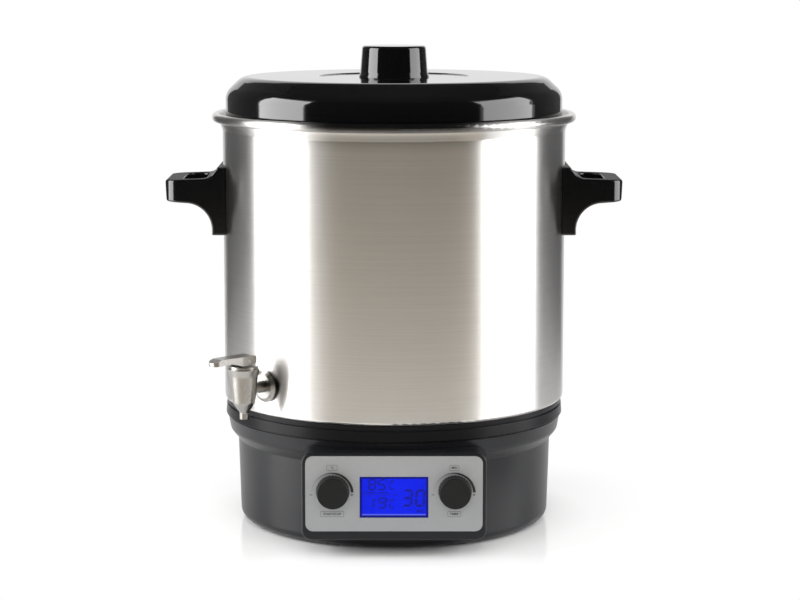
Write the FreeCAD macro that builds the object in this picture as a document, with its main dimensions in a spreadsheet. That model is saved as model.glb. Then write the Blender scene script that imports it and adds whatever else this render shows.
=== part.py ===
import FreeCAD, Part
import collections
import math
import os
import Sketcher

# Electric preserving cooker: a steel pot with two side handles and a tap, a lift-off lid,
# and a black base with a control panel. Millimetres, +Z up, front towards -Y, origin on the
# surface it stands on, under the middle of the pot.

SIZES = (
    # clearances
    ("slip", 0.3),
    ("run_fit", 0.1),
    ("snug", 0.03),
    # pot
    ("pot_radius", 175.0),
    ("pot_wall", 1.0),
    ("pot_height", 292.5),
    ("pot_foot_round", 3.0),
    ("flare_height", 17.5),
    ("flare_spread", 3.0),
    ("bead_reach", 10.5),
    ("bead_height", 9.0),
    ("bead_round", 4.3),
    # heater under the pot
    ("heater_inset", 50.0),
    ("heater_thick", 7.0),
    ("element_inset", 30.0),
    ("element_width", 8.0),
    ("element_height", 5.0),
    ("element_sweep", 330.0),
    ("stud_inset", 30.0),
    ("stud_radius", 2.0),
    ("stud_length", 26.0),
    ("stud_nut_radius", 4.0),
    ("stud_nut_height", 3.2),
    ("sensor_radius", 4.0),
    ("sensor_length", 12.0),
    ("cutout_radius", 8.0),
    ("cutout_height", 6.0),
    ("cutout_offset", 45.0),
    ("shield_thick", 1.0),
    ("shield_inset", 26.0),
    ("shield_bore", 30.0),
    # lid
    ("lid_inset", 3.3),
    ("lid_wall", 2.5),
    ("lid_shoulder", 17.2),
    ("lid_height", 36.5),
    ("lid_skirt", 20.5),
    ("lid_edge_round", 16.0),
    ("brim_drop", 8.0),
    ("brim_reach", 3.6),
    ("brim_thick", 2.0),
    ("dish_radius", 77.0),
    ("dish_depth", 1.0),
    ("dish_slope", 2.0),
    # lid knob
    ("knob_height", 31.7),
    ("knob_foot_radius", 36.0),
    ("knob_waist_radius", 34.4),
    ("knob_top_radius", 32.4),
    ("knob_wall", 3.0),
    ("knob_boss_radius", 8.0),
    ("knob_round", 3.0),
    ("knob_flare", 5.0),
    ("knob_screw_radius", 2.5),
    ("knob_screw_head", 5.0),
    ("knob_screw_depth", 18.0),
    ("washer_radius", 9.0),
    ("washer_thick", 1.2),
    # handles
    ("handle_level", 227.5),
    ("handle_reach", 57.0),
    ("handle_width", 87.0),
    ("handle_corner", 16.0),
    ("handle_end_drop", 23.5),
    ("handle_foot_drop", 57.5),
    ("handle_crest", 11.5),
    ("handle_plate", 6.0),
    ("handle_foot", 9.3),
    ("handle_sweep", 27.0),
    ("grip_bar", 18.0),
    ("grip_arm", 10.5),
    ("grip_gap", 23.0),
    ("grip_gap_round", 10.0),
    ("handle_round", 2.0),
    ("handle_screw_low", 40.0),
    ("handle_screw_high", 8.0),
    ("handle_screw_radius", 2.0),
    ("handle_screw_head", 4.5),
    ("handle_screw_head_thick", 2.4),
    ("insert_radius", 3.5),
    ("insert_length", 8.0),
    ("seal_radius", 5.0),
    ("seal_thick", 1.0),
    # base ring
    ("ring_height", 18.0),
    ("ring_inset", 1.0),
    ("ring_taper", 1.1),
    ("ring_wall", 4.0),
    ("ring_flange", 3.0),
    ("ring_land", 13.0),
    ("ring_flange_reach", 36.0),
    ("ring_foot_step", 3.0),
    ("ring_foot_height", 1.5),
    ("ring_groove_level", 12.0),
    ("ring_groove_width", 1.6),
    ("ring_groove_depth", 1.2),
    ("ring_screw_inset", 19.5),
    ("ring_screw_radius", 2.0),
    ("ring_screw_head", 3.6),
    ("ring_screw_head_thick", 2.4),
    ("ring_screw_length", 14.0),
    ("ring_boss_radius", 4.6),
    ("ring_boss_length", 30.0),
    # base housing
    ("stand_height", 2.4),
    ("base_height", 107.6),
    ("base_wall", 3.0),
    ("base_taper", 2.4),
    ("base_inset", 13.3),
    ("base_edge_round", 9.0),
    ("shoulder_level", 86.5),
    ("shoulder_round", 3.0),
    ("lip_level", 96.0),
    ("lip_low_inset", 5.4),
    ("lip_inset", 3.0),
    ("lip_round", 8.0),
    ("lip_land", 6.0),
    ("flange_width", 14.0),
    ("inner_round", 6.0),
    # bottom cover and feet
    ("cover_thick", 2.5),
    ("cover_inset", 17.3),
    ("cover_screw_inset", 7.0),
    ("cover_screw_radius", 1.8),
    ("cover_screw_head", 3.6),
    ("cover_screw_head_thick", 1.5),
    ("cover_boss_radius", 5.0),
    ("cover_boss_height", 14.0),
    ("foot_inset", 20.0),
    ("foot_radius", 13.0),
    ("vent_count", 7.0),
    ("vent_pitch", 9.0),
    ("vent_width", 3.5),
    ("vent_length", 50.0),
    ("vent_back", 85.0),
    # cord gland at the back
    ("gland_level", 38.0),
    ("gland_flange_radius", 11.0),
    ("gland_flange_thick", 4.0),
    ("gland_neck_radius", 8.0),
    ("gland_neck_length", 14.0),
    ("gland_bore", 4.0),
    # control box
    ("panel_stand", 23.3),
    ("panel_level", 63.7),
    ("box_width", 179.0),
    ("box_top", 104.0),
    ("box_bottom", 17.5),
    ("box_corner", 10.0),
    ("box_depth", 66.0),
    ("box_wall", 3.0),
    ("box_edge_round", 2.0),
    ("plate_border", 3.75),
    ("plate_height", 74.2),
    ("plate_corner", 7.5),
    ("plate_seat", 1.0),
    ("plate_proud", 0.2),
    ("hatch_inset", 24.0),
    ("hatch_bottom", 34.0),
    ("hatch_top", 79.0),
    # display
    ("display_level", 60.3),
    ("display_width", 66.5),
    ("display_height", 40.6),
    ("pane_lap", 1.2),
    ("pane_thick", 1.5),
    ("display_board_gap", 13.0),
    ("board_inset", 13.0),
    ("display_board_height", 60.0),
    ("board_thick", 1.6),
    ("board_post_radius", 3.6),
    ("board_post_inset", 7.0),
    ("board_post_z", 22.0),
    ("board_screw_radius", 1.3),
    ("board_screw_head", 2.6),
    ("board_screw_head_thick", 1.8),
    ("board_screw_length", 7.0),
    ("buzzer_radius", 6.0),
    ("buzzer_height", 5.0),
    ("buzzer_x", 44.0),
    ("buzzer_drop", 14.0),
    # dials and their encoders
    ("dial_inset", 30.5),
    ("dial_level", 66.5),
    ("dial_radius", 16.2),
    ("dial_front_radius", 15.1),
    ("dial_height", 11.0),
    ("dial_gap", 2.6),
    ("dial_round", 1.2),
    ("dial_rib_count", 30.0),
    ("dial_rib_radius", 0.7),
    ("dial_cap_thick", 2.0),
    ("dial_travel", 1.5),
    ("shaft_radius", 3.0),
    ("drive_width", 3.8),
    ("encoder_width", 14.0),
    ("encoder_height", 6.0),
    ("encoder_wall", 1.0),
    ("bushing_radius", 3.9),
    ("bushing_reach", 1.2),
    ("rotor_radius", 5.4),
    # power board in the base
    ("power_board_length", 120.0),
    ("power_board_width", 80.0),
    ("power_board_back", 25.0),
    ("power_post_height", 18.0),
    ("power_post_radius", 4.0),
    ("power_post_inset", 7.0),
    ("relay_length", 29.0),
    ("relay_width", 13.0),
    ("relay_height", 25.0),
    ("transformer_length", 42.0),
    ("transformer_width", 36.0),
    ("transformer_height", 32.0),
    ("capacitor_radius", 6.0),
    ("capacitor_height", 20.0),
    ("terminal_length", 40.0),
    ("terminal_width", 12.0),
    ("terminal_height", 14.0),
    # tap
    ("tap_turn", 224.0),
    ("tap_level", 30.0),
    ("tap_axis_reach", 29.0),
    ("tap_top_radius", 16.0),
    ("tap_waist_radius", 10.8),
    ("tap_nozzle_radius", 4.6),
    ("tap_nozzle_bore", 3.2),
    ("tap_nozzle_length", 6.5),
    ("tap_cone_height", 9.0),
    ("tap_waist_drop", 13.5),
    ("tap_shoulder_rise", 14.0),
    ("tap_top_rise", 21.0),
    ("tap_chamber_radius", 8.6),
    ("tap_seat_drop", 8.0),
    ("shank_radius", 6.0),
    ("shank_bore", 3.6),
    ("shank_inside", 14.0),
    ("rosette_radius", 16.0),
    ("rosette_thick", 3.0),
    ("rosette_bevel", 2.0),
    ("tap_seal_radius", 13.0),
    ("tap_seal_thick", 1.8),
    ("tap_nut_radius", 11.0),
    ("tap_nut_thick", 6.0),
    ("bonnet_thick", 3.35),
    ("bonnet_radius", 14.2),
    ("bonnet_neck", 6.0),
    ("stem_radius", 3.0),
    ("stem_flange_radius", 6.5),
    ("stem_flange_thick", 1.6),
    ("stem_lift", 5.6),
    ("eye_width", 4.0),
    ("plug_radius", 6.2),
    ("plug_height", 5.0),
    ("spring_radius", 6.4),
    ("spring_wire", 1.2),
    ("pin_radius", 1.5),
    ("cam_radius", 4.0),
    ("cam_throw", 5.0),
    ("cam_gap", 0.65),
    ("lever_crown", 5.0),
    ("lever_reach", 41.0),
    ("lever_width", 17.0),
    ("lever_tip_width", 13.0),
    ("lever_tip_thick", 3.4),
)


class Size:
    """A length that knows its value now and the expression that gives it."""

    def __init__(self, value, text):
        self.value = value
        self.text = text

    def _mix(self, sign, other, value, swap=False):
        left, right = self.text, write(other)
        if swap:
            left, right = right, left
        return Size(value, f"({left} {sign} {right})")

    def __add__(self, other):
        return self._mix("+", other, self.value + read(other))

    def __radd__(self, other):
        return self._mix("+", other, read(other) + self.value, True)

    def __sub__(self, other):
        return self._mix("-", other, self.value - read(other))

    def __rsub__(self, other):
        return self._mix("-", other, read(other) - self.value, True)

    def __mul__(self, other):
        return self._mix("*", other, self.value * read(other))

    def __rmul__(self, other):
        return self._mix("*", other, read(other) * self.value, True)

    def __truediv__(self, other):
        return self._mix("/", other, self.value / read(other))

    def __neg__(self):
        return Size(-self.value, f"(0 - {self.text})")


def read(size):
    return size.value if isinstance(size, Size) else float(size)


def write(size):
    return size.text if isinstance(size, Size) else repr(size)


def sine(angle):
    return Size(math.sin(math.radians(read(angle))), f"sin({write(angle)})")


def cosine(angle):
    return Size(math.cos(math.radians(read(angle))), f"cos({write(angle)})")


doc = FreeCAD.newDocument("PreservingCooker")
sheet = doc.addObject("Spreadsheet::Sheet", "Sizes")
s = collections.namedtuple("Lengths", [name for name, _ in SIZES])(
    *[Size(value, f"Sizes.{name}") for name, value in SIZES]
)
for row, (name, value) in enumerate(SIZES, start=1):
    sheet.set(f"A{row}", name)
    sheet.set(f"B{row}", repr(value))
    sheet.setAlias(f"B{row}", name)
doc.recompute()

Vector = FreeCAD.Vector
Ring = collections.namedtuple("Ring", "x y radius")
UPRIGHT = FreeCAD.Rotation()
TO_X = FreeCAD.Rotation(Vector(0, 1, 0), 90)
TO_MINUS_X = FreeCAD.Rotation(Vector(0, 1, 0), -90)
TO_Y = FreeCAD.Rotation(Vector(1, 0, 0), -90)
TO_MINUS_Y = FreeCAD.Rotation(Vector(1, 0, 0), 90)
QUARTERS = (45.0, 135.0, 225.0, 315.0)
nodes = []


def bind(thing, path, size):
    if isinstance(size, Size):
        thing.setExpression(path, size.text)


def place(thing, x=0, y=0, z=0, rotation=UPRIGHT):
    thing.Placement = FreeCAD.Placement(Vector(read(x), read(y), read(z)), rotation)
    for axis, size in zip("xyz", (x, y, z)):
        bind(thing, f"Placement.Base.{axis}", size)
    return thing


def polar(radius, angle):
    return radius * cosine(angle), radius * sine(angle)


def node(thing, label):
    thing.Label = label
    nodes.append(thing)
    return thing


def add_ring(sk, ring):
    centre = Vector(read(ring.x), read(ring.y), 0)
    index = sk.addGeometry(Part.Circle(centre, Vector(0, 0, 1), read(ring.radius)))
    for kind, size in (("DistanceX", ring.x), ("DistanceY", ring.y)):
        hold = sk.addConstraint(Sketcher.Constraint(kind, -1, 1, index, 3, read(size)))
        bind(sk, f"Constraints[{hold}]", size)
    hold = sk.addConstraint(Sketcher.Constraint("Radius", index, read(ring.radius)))
    bind(sk, f"Constraints[{hold}]", ring.radius)


def corner_arc(before, corner, after, radius):
    """The arc that rounds a corner, its two ends in the outline's order, and which end is first."""
    to_before = (before - corner).normalize()
    to_after = (after - corner).normalize()
    half = to_before.getAngle(to_after) / 2
    centre = corner + (to_before + to_after).normalize() * (radius / math.sin(half))
    run = radius / math.tan(half)
    ends = (corner + to_before * run, corner + to_after * run)
    angles = [math.atan2(end.y - centre.y, end.x - centre.x) for end in ends]
    leftward = (ends[0] - centre).cross(ends[1] - centre).z > 0
    if not leftward:
        angles.reverse()
    arc = Part.ArcOfCircle(Part.Circle(centre, Vector(0, 0, 1), radius), *angles)
    return arc, ends, 1 if leftward else 2


def add_outline(sk, corners):
    """A closed outline; a corner is (x, y) or, where it is rounded, (x, y, radius)."""
    points = [Vector(read(corner[0]), read(corner[1]), 0) for corner in corners]
    count = len(points)
    arcs = []
    for i, corner in enumerate(corners):
        if len(corner) == 3:
            before, after = points[i - 1], points[(i + 1) % count]
            arcs.append(corner_arc(before, points[i], after, read(corner[2])))
        else:
            arcs.append((None, (points[i], points[i]), 1))
    first = sk.GeometryCount
    sides = [Part.LineSegment(arcs[i][1][1], arcs[(i + 1) % count][1][0]) for i in range(count)]
    sk.addGeometry(sides)
    rules = []
    held = []

    def hold(rule, size):
        held.append((len(rules), size))
        rules.append(rule)

    for i, corner in enumerate(corners):
        coming, going = first + (i - 1) % count, first + i
        spot = (going, 1)
        if len(corner) == 3:
            arc = sk.addGeometry(arcs[i][0])
            near = arcs[i][2]
            rules.append(Sketcher.Constraint("Tangent", coming, 2, arc, near))
            rules.append(Sketcher.Constraint("Tangent", arc, 3 - near, going, 1))
            hold(Sketcher.Constraint("Radius", arc, read(corner[2])), corner[2])
            mark = sk.addGeometry(Part.Point(points[i]), True)
            rules.append(Sketcher.Constraint("PointOnObject", mark, 1, coming))
            rules.append(Sketcher.Constraint("PointOnObject", mark, 1, going))
            spot = (mark, 1)
        else:
            rules.append(Sketcher.Constraint("Coincident", coming, 2, going, 1))
        hold(Sketcher.Constraint("DistanceX", -1, 1, *spot, read(corner[0])), corner[0])
        hold(Sketcher.Constraint("DistanceY", -1, 1, *spot, read(corner[1])), corner[1])
    base = sk.ConstraintCount
    sk.addConstraint(rules)
    for index, size in held:
        bind(sk, f"Constraints[{base + index}]", size)


def sketch(body, plane, loops, lift=0):
    """A sketch on one of the body's own planes, lifted along the plane's normal."""
    sk = body.newObject("Sketcher::SketchObject", "Profile")
    support = next(o for o in body.Origin.OriginFeatures if o.Role == plane)
    sk.AttachmentSupport = [(support, "")]
    sk.MapMode = "FlatFace"
    sk.AttachmentOffset = FreeCAD.Placement(Vector(0, 0, read(lift)), UPRIGHT)
    bind(sk, "AttachmentOffset.Base.z", lift)
    for loop in loops:
        if isinstance(loop, Ring):
            add_ring(sk, loop)
        else:
            add_outline(sk, loop)
    return sk


def new_body(label):
    return node(doc.addObject("PartDesign::Body", label), label)


def revolve(body, corners, kind="Revolution", angle=360.0):
    """Turns an outline in the body's XZ plane about its Z axis, to add or to cut away."""
    turn = body.newObject(f"PartDesign::{kind}", kind)
    turn.Profile = sketch(body, "XZ_Plane", [corners])
    turn.ReferenceAxis = (turn.Profile[0], ["V_Axis"])
    turn.Angle = read(angle)
    bind(turn, "Angle", angle)
    doc.recompute()
    return turn


def pad(body, plane, loops, lift, length):
    rise = body.newObject("PartDesign::Pad", "Pad")
    rise.Profile = sketch(body, plane, loops, lift)
    rise.Length = read(length)
    bind(rise, "Length", length)
    doc.recompute()
    return rise


def pocket(body, plane, loops, lift, depth):
    """Cuts from the lifted sketch back along the plane's normal."""
    before = body.Shape.Volume
    dip = body.newObject("PartDesign::Pocket", "Pocket")
    dip.Profile = sketch(body, plane, loops, lift)
    dip.Length = read(depth)
    bind(dip, "Length", depth)
    doc.recompute()
    if body.Shape.Volume > before - 1e-6:
        raise RuntimeError(f"a pocket of {body.Label} cuts nothing")
    return dip


def turned(label, corners, **where):
    body = new_body(label)
    revolve(body, corners)
    return place(body, **where)


def round_edges(body, radius, wanted):
    """Rounds the edges of a body's last feature whose middle point is wanted."""
    tip = body.Tip
    names = []
    for index, edge in enumerate(tip.Shape.Edges, start=1):
        if wanted(edge.valueAt((edge.FirstParameter + edge.LastParameter) / 2), edge):
            names.append(f"Edge{index}")
    fillet = body.newObject("PartDesign::Fillet", "Fillet")
    fillet.Base = (tip, names)
    fillet.Radius = read(radius)
    bind(fillet, "Radius", radius)
    doc.recompute()
    return fillet


def rectangle(x0, x1, y0, y1, *corner):
    return [(x0, y0, *corner), (x1, y0, *corner), (x1, y1, *corner), (x0, y1, *corner)]


def block(label, x, y, z, length, width, height):
    """A plain box centred on x and y that stands on z."""
    box = doc.addObject("Part::Box", label)
    for name, size in (("Length", length), ("Width", width), ("Height", height)):
        setattr(box, name, read(size))
        bind(box, name, size)
    return place(box, x - length / 2, y - width / 2, z)


def rod(label, radius, length, rotation=UPRIGHT, x=0, y=0, z=0):
    bar = doc.addObject("Part::Cylinder", label)
    bar.Radius = read(radius)
    bar.Height = read(length)
    bind(bar, "Radius", radius)
    bind(bar, "Height", length)
    return place(bar, x, y, z, rotation)


def hexagon(label, radius, height, rotation=UPRIGHT, x=0, y=0, z=0):
    prism = doc.addObject("Part::Prism", label)
    prism.Polygon = 6
    prism.Circumradius = read(radius)
    prism.Height = read(height)
    bind(prism, "Circumradius", radius)
    bind(prism, "Height", height)
    return place(prism, x, y, z, rotation)


def join(label, pieces):
    whole = doc.addObject("Part::MultiFuse", label)
    whole.Shapes = pieces
    return whole


def carve(label, base, tool):
    rest = doc.addObject("Part::Cut", label)
    rest.Base = base
    rest.Tool = tool
    return rest


def gather(label, pieces):
    """Like pieces that share one node."""
    many = doc.addObject("Part::Compound", label)
    many.Links = pieces
    return node(many, label)


def screw(label, radius, length, head, head_thick, rotation, x, y, z, way):
    """A screw whose head stands on x, y, z and whose shank runs along the unit step way."""
    back = [-step for step in way]
    start = [spot + step * head_thick for spot, step in zip((x, y, z), back)]
    cap = rod(label + "_head", head, head_thick, rotation, *start)
    shank = rod(label + "_shank", radius, length + head_thick / 2, rotation,
                *[spot + step * head_thick / 2 for spot, step in zip((x, y, z), back)])
    return join(label, [cap, shank])


# Radii and widths that follow from the pot and the control box.
lid_radius = s.pot_radius - s.lid_inset
lid_top_radius = lid_radius - s.lid_shoulder
heater_radius = s.pot_radius - s.heater_inset
element_radius = heater_radius - s.element_inset
stud_circle = s.pot_radius - s.stud_inset
shield_radius = s.pot_radius - s.shield_inset
ring_radius = s.pot_radius - s.ring_inset
ring_top_radius = ring_radius - s.ring_taper
ring_land_bore = ring_radius - s.ring_land
ring_bore = ring_radius - s.ring_flange_reach
ring_screw_circle = ring_radius - s.ring_screw_inset
base_radius = s.pot_radius - s.base_inset
base_foot_radius = base_radius - s.base_taper
lip_radius_low = s.pot_radius - s.lip_low_inset
lip_radius = s.pot_radius - s.lip_inset
cover_radius = base_foot_radius - s.cover_inset
flange_bore = cover_radius - s.flange_width
cover_screw_circle = cover_radius - s.cover_screw_inset
foot_circle = cover_radius - s.foot_inset
panel_reach = base_radius + s.panel_stand
plate_width = s.box_width - s.plate_border * 2
hatch_width = s.box_width - s.hatch_inset * 2
display_board_width = s.box_width - s.board_inset * 2
board_post_x = display_board_width / 2 - s.board_post_inset
dial_x = s.box_width / 2 - s.dial_inset

# Levels that the pieces share.
cover_level = s.stand_height
flange_level = s.stand_height + s.cover_thick
floor_level = flange_level + s.base_wall
base_top = s.stand_height + s.base_height
pot_level = base_top + s.ring_height
pot_top = pot_level + s.pot_height
pot_inside = s.pot_radius - s.pot_wall
handle_top = pot_level + s.handle_level
tap_axis = s.pot_radius + s.tap_axis_reach
flare_level = pot_top - s.flare_height


def base_skin(gap):
    """The outside of the base from its foot to its lip, moved outwards by a gap."""
    return [
        (base_foot_radius + gap, s.stand_height, s.base_edge_round),
        (base_radius + gap, s.shoulder_level, s.shoulder_round),
        (lip_radius_low + gap, s.lip_level, s.lip_round),
        (lip_radius + gap, base_top),
    ]


# Pot: drawn steel with a flared mouth that ends in a rolled bead.
pot = turned("pot", [
    (0, pot_level),
    (s.pot_radius, pot_level, s.pot_foot_round),
    (s.pot_radius, flare_level, s.bead_round),
    (s.pot_radius + s.flare_spread, pot_top - s.bead_height),
    (s.pot_radius + s.bead_reach, pot_top - s.bead_height, s.bead_round),
    (s.pot_radius + s.bead_reach, pot_top, s.bead_round),
    (s.pot_radius + s.flare_spread + s.pot_wall / 2, pot_top, s.bead_round / 2),
    (pot_inside, flare_level + s.pot_wall * 2, s.bead_round),
    (pot_inside, pot_level + s.pot_wall, s.pot_foot_round - s.pot_wall),
    (0, pot_level + s.pot_wall),
])
handle_screw_levels = (handle_top - s.handle_screw_low, handle_top - s.handle_screw_high)
handle_holes = [Ring(0, level, s.handle_screw_radius + s.slip) for level in handle_screw_levels]
pocket(pot, "YZ_Plane", handle_holes, s.pot_radius * 1.2, s.pot_radius / 2)
pocket(pot, "YZ_Plane", handle_holes, s.pot_radius * -0.8, s.pot_radius / 2)
tap_hole = pocket(pot, "YZ_Plane", [Ring(0, pot_level + s.tap_level, s.shank_radius + s.slip)],
                  -s.pot_radius * 0.8, s.pot_radius / 2)
tap_face = tap_hole.Profile[0]
tap_face.setExpression("AttachmentOffset.Base.z", None)
tap_face.AttachmentOffset = FreeCAD.Placement(
    Vector(read(s.pot_radius * 1.2 * sine(s.tap_turn)), 0,
           read(s.pot_radius * 1.2 * cosine(s.tap_turn))),
    FreeCAD.Rotation(Vector(0, 1, 0), read(s.tap_turn)))
bind(tap_face, "AttachmentOffset.Base.x", s.pot_radius * 1.2 * sine(s.tap_turn))
bind(tap_face, "AttachmentOffset.Base.z", s.pot_radius * 1.2 * cosine(s.tap_turn))
bind(tap_face, "AttachmentOffset.Rotation.Angle", s.tap_turn)
doc.recompute()

# Heater pressed on the underside of the pot, with the studs that hold the pot to the ring.
heater_level = pot_level - s.heater_thick
turned("heater_plate", [
    (0, heater_level),
    (heater_radius, heater_level, s.pot_wall),
    (heater_radius, pot_level),
    (0, pot_level),
])
element = new_body("heating_element")
revolve(element, [
    (element_radius - s.element_width / 2, heater_level),
    (element_radius - s.element_width / 2, heater_level - s.element_height, s.element_height / 2),
    (element_radius + s.element_width / 2, heater_level - s.element_height, s.element_height / 2),
    (element_radius + s.element_width / 2, heater_level),
], angle=s.element_sweep)
stud_spots = [polar(stud_circle, angle) for angle in QUARTERS]
gather("pot_studs", [
    rod("stud", s.stud_radius, s.stud_length, UPRIGHT, x, y, pot_level - s.stud_length)
    for x, y in stud_spots
])
shield_level = base_top - s.shield_thick
gather("stud_nuts", [
    carve("nut",
          hexagon("nut_blank", s.stud_nut_radius, s.stud_nut_height, UPRIGHT, x, y,
                  shield_level - s.stud_nut_height),
          rod("nut_bore", s.stud_radius + s.snug, s.stud_nut_height, UPRIGHT, x, y,
              shield_level - s.stud_nut_height))
    for x, y in stud_spots
])
node(rod("temperature_sensor", s.sensor_radius, s.sensor_length, UPRIGHT, 0, 0,
         heater_level - s.sensor_length), "temperature_sensor")
cutout_level = heater_level - s.cutout_height
node(join("thermal_cutout", [
    rod("cutout_can", s.cutout_radius, s.cutout_height, UPRIGHT, s.cutout_offset, 0, cutout_level),
    block("cutout_ears", s.cutout_offset, 0, heater_level - s.shield_thick,
          s.cutout_radius * 1.2, s.cutout_radius * 3.4, s.shield_thick),
]), "thermal_cutout")
shield = turned("heat_shield", [
    (s.shield_bore, shield_level),
    (shield_radius, shield_level),
    (shield_radius, base_top),
    (s.shield_bore, base_top),
])
pocket(shield, "XY_Plane", [Ring(x, y, s.stud_radius + s.slip) for x, y in stud_spots],
       base_top, s.shield_thick * 2)

# Black ring between pot and base.
groove_level = base_top + s.ring_groove_level
ring_slope = (ring_radius - ring_top_radius) / s.ring_height
ring_at_groove = ring_radius - ring_slope * s.ring_groove_level
ring = turned("base_ring", [
    (ring_bore, base_top),
    (ring_radius - s.ring_foot_step, base_top),
    (ring_radius - s.ring_foot_step, base_top + s.ring_foot_height),
    (ring_radius, base_top + s.ring_foot_height, s.ring_foot_height / 2),
    (ring_at_groove, groove_level, s.ring_foot_height / 2),
    (ring_at_groove - s.ring_groove_depth, groove_level + s.ring_groove_width / 4),
    (ring_at_groove - s.ring_groove_depth, groove_level + s.ring_groove_width),
    (ring_at_groove - s.ring_groove_depth / 4, groove_level + s.ring_groove_width),
    (ring_top_radius, pot_level, s.ring_foot_height / 2),
    (ring_land_bore, pot_level),
    (ring_land_bore, pot_level - s.ring_flange),
    (ring_radius - s.ring_wall, pot_level - s.ring_flange),
    (ring_radius - s.ring_wall, base_top + s.ring_flange),
    (ring_bore, base_top + s.ring_flange),
])
ring_screw_spots = [polar(ring_screw_circle, angle + 15.0) for angle in QUARTERS]
pocket(ring, "XY_Plane",
       [Ring(x, y, s.stud_radius + s.slip) for x, y in stud_spots]
       + [Ring(x, y, s.ring_screw_radius + s.slip) for x, y in ring_screw_spots],
       base_top + s.ring_flange + s.slip, s.ring_flange * 2)
gather("ring_screws", [
    screw("ring_screw", s.ring_screw_radius, s.ring_screw_length, s.ring_screw_head,
          s.ring_screw_head_thick, FreeCAD.Rotation(Vector(1, 0, 0), 180), x, y,
          base_top + s.ring_flange, (0, 0, -1))
    for x, y in ring_screw_spots
])

# Base housing: a moulded shell with a flared lip, screw bosses and a hatch behind the panel.
housing = turned("base_housing", [
    (flange_bore, flange_level),
    (cover_radius + s.slip, flange_level),
    (cover_radius + s.slip, s.stand_height),
] + base_skin(0) + [
    (lip_radius - s.lip_land, base_top),
    (lip_radius_low - s.base_wall * 1.4, s.lip_level + s.base_wall / 3),
    (base_radius - s.base_wall, s.shoulder_level + s.base_wall / 2),
    (base_foot_radius - s.base_wall, floor_level, s.inner_round),
    (flange_bore, floor_level),
])
pad(housing, "XY_Plane", [Ring(x, y, s.ring_boss_radius) for x, y in ring_screw_spots],
    base_top - s.ring_boss_length, s.ring_boss_length)
pocket(housing, "XY_Plane",
       [Ring(x, y, s.ring_screw_radius + s.snug) for x, y in ring_screw_spots],
       base_top, s.ring_screw_length)
cover_screw_spots = [polar(cover_screw_circle, angle) for angle in QUARTERS]
pad(housing, "XY_Plane", [Ring(x, y, s.cover_boss_radius) for x, y in cover_screw_spots],
    floor_level - s.base_wall / 2, s.cover_boss_height)
pocket(housing, "XY_Plane",
       [Ring(x, y, s.cover_screw_radius + s.snug) for x, y in cover_screw_spots],
       floor_level + s.cover_boss_height, s.cover_boss_height + s.base_wall * 2)
pocket(housing, "XZ_Plane",
       [rectangle(-hatch_width / 2, hatch_width / 2, s.hatch_bottom, s.hatch_top,
                  s.shoulder_round)],
       base_radius * 1.2, base_radius * 0.6)
pocket(housing, "XZ_Plane", [Ring(0, s.gland_level, s.gland_neck_radius + s.slip)],
       -base_radius * 0.6, base_radius * 0.6)

# Bottom cover with posts for the power board, vents and feet.
cover = turned("bottom_cover", [
    (0, cover_level),
    (cover_radius, cover_level),
    (cover_radius, flange_level),
    (0, flange_level),
])
post_x = s.power_board_length / 2 - s.power_post_inset
post_y = s.power_board_width / 2 - s.power_post_inset
post_spots = [(x, s.power_board_back + y) for x in (post_x, -post_x) for y in (post_y, -post_y)]
post_top = flange_level + s.power_post_height
pad(cover, "XY_Plane", [Ring(x, y, s.power_post_radius) for x, y in post_spots],
    flange_level - s.cover_thick / 2, s.power_post_height + s.cover_thick / 2)
pocket(cover, "XY_Plane", [Ring(x, y, s.board_screw_radius + s.snug) for x, y in post_spots],
       post_top, s.board_screw_length)
pocket(cover, "XY_Plane",
       [Ring(x, y, s.cover_screw_radius + s.slip) for x, y in cover_screw_spots],
       flange_level, s.cover_thick * 2)
pocket(cover, "XY_Plane",
       [Ring(x, y, s.cover_screw_head + s.slip) for x, y in cover_screw_spots],
       cover_level + s.cover_screw_head_thick, s.cover_thick)
vents = int(read(s.vent_count))
pocket(cover, "XY_Plane", [
    rectangle(s.vent_pitch * (i - (vents - 1) / 2) - s.vent_width / 2,
              s.vent_pitch * (i - (vents - 1) / 2) + s.vent_width / 2,
              -s.vent_back - s.vent_length / 2, -s.vent_back + s.vent_length / 2)
    for i in range(vents)
], flange_level, s.cover_thick * 2)
gather("bottom_screws", [
    screw("bottom_screw", s.cover_screw_radius, s.cover_boss_height, s.cover_screw_head,
          s.cover_screw_head_thick, UPRIGHT, x, y, cover_level + s.cover_screw_head_thick, (0, 0, 1))
    for x, y in cover_screw_spots
])
gather("rubber_feet", [
    rod("foot", s.foot_radius, s.stand_height, UPRIGHT, x, y, 0)
    for x, y in [polar(foot_circle, angle) for angle in QUARTERS]
])

# Gland at the back of the base where the supply enters.
gland_face = base_radius + s.slip
turned("cord_gland", [
    (s.gland_bore, s.gland_flange_thick),
    (s.gland_bore, -s.gland_neck_length),
    (s.gland_neck_radius, -s.gland_neck_length),
    (s.gland_neck_radius, 0),
    (s.gland_flange_radius, 0),
    (s.gland_flange_radius, s.gland_flange_thick, s.gland_flange_thick / 3),
], y=gland_face, z=s.gland_level, rotation=TO_Y)

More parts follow.
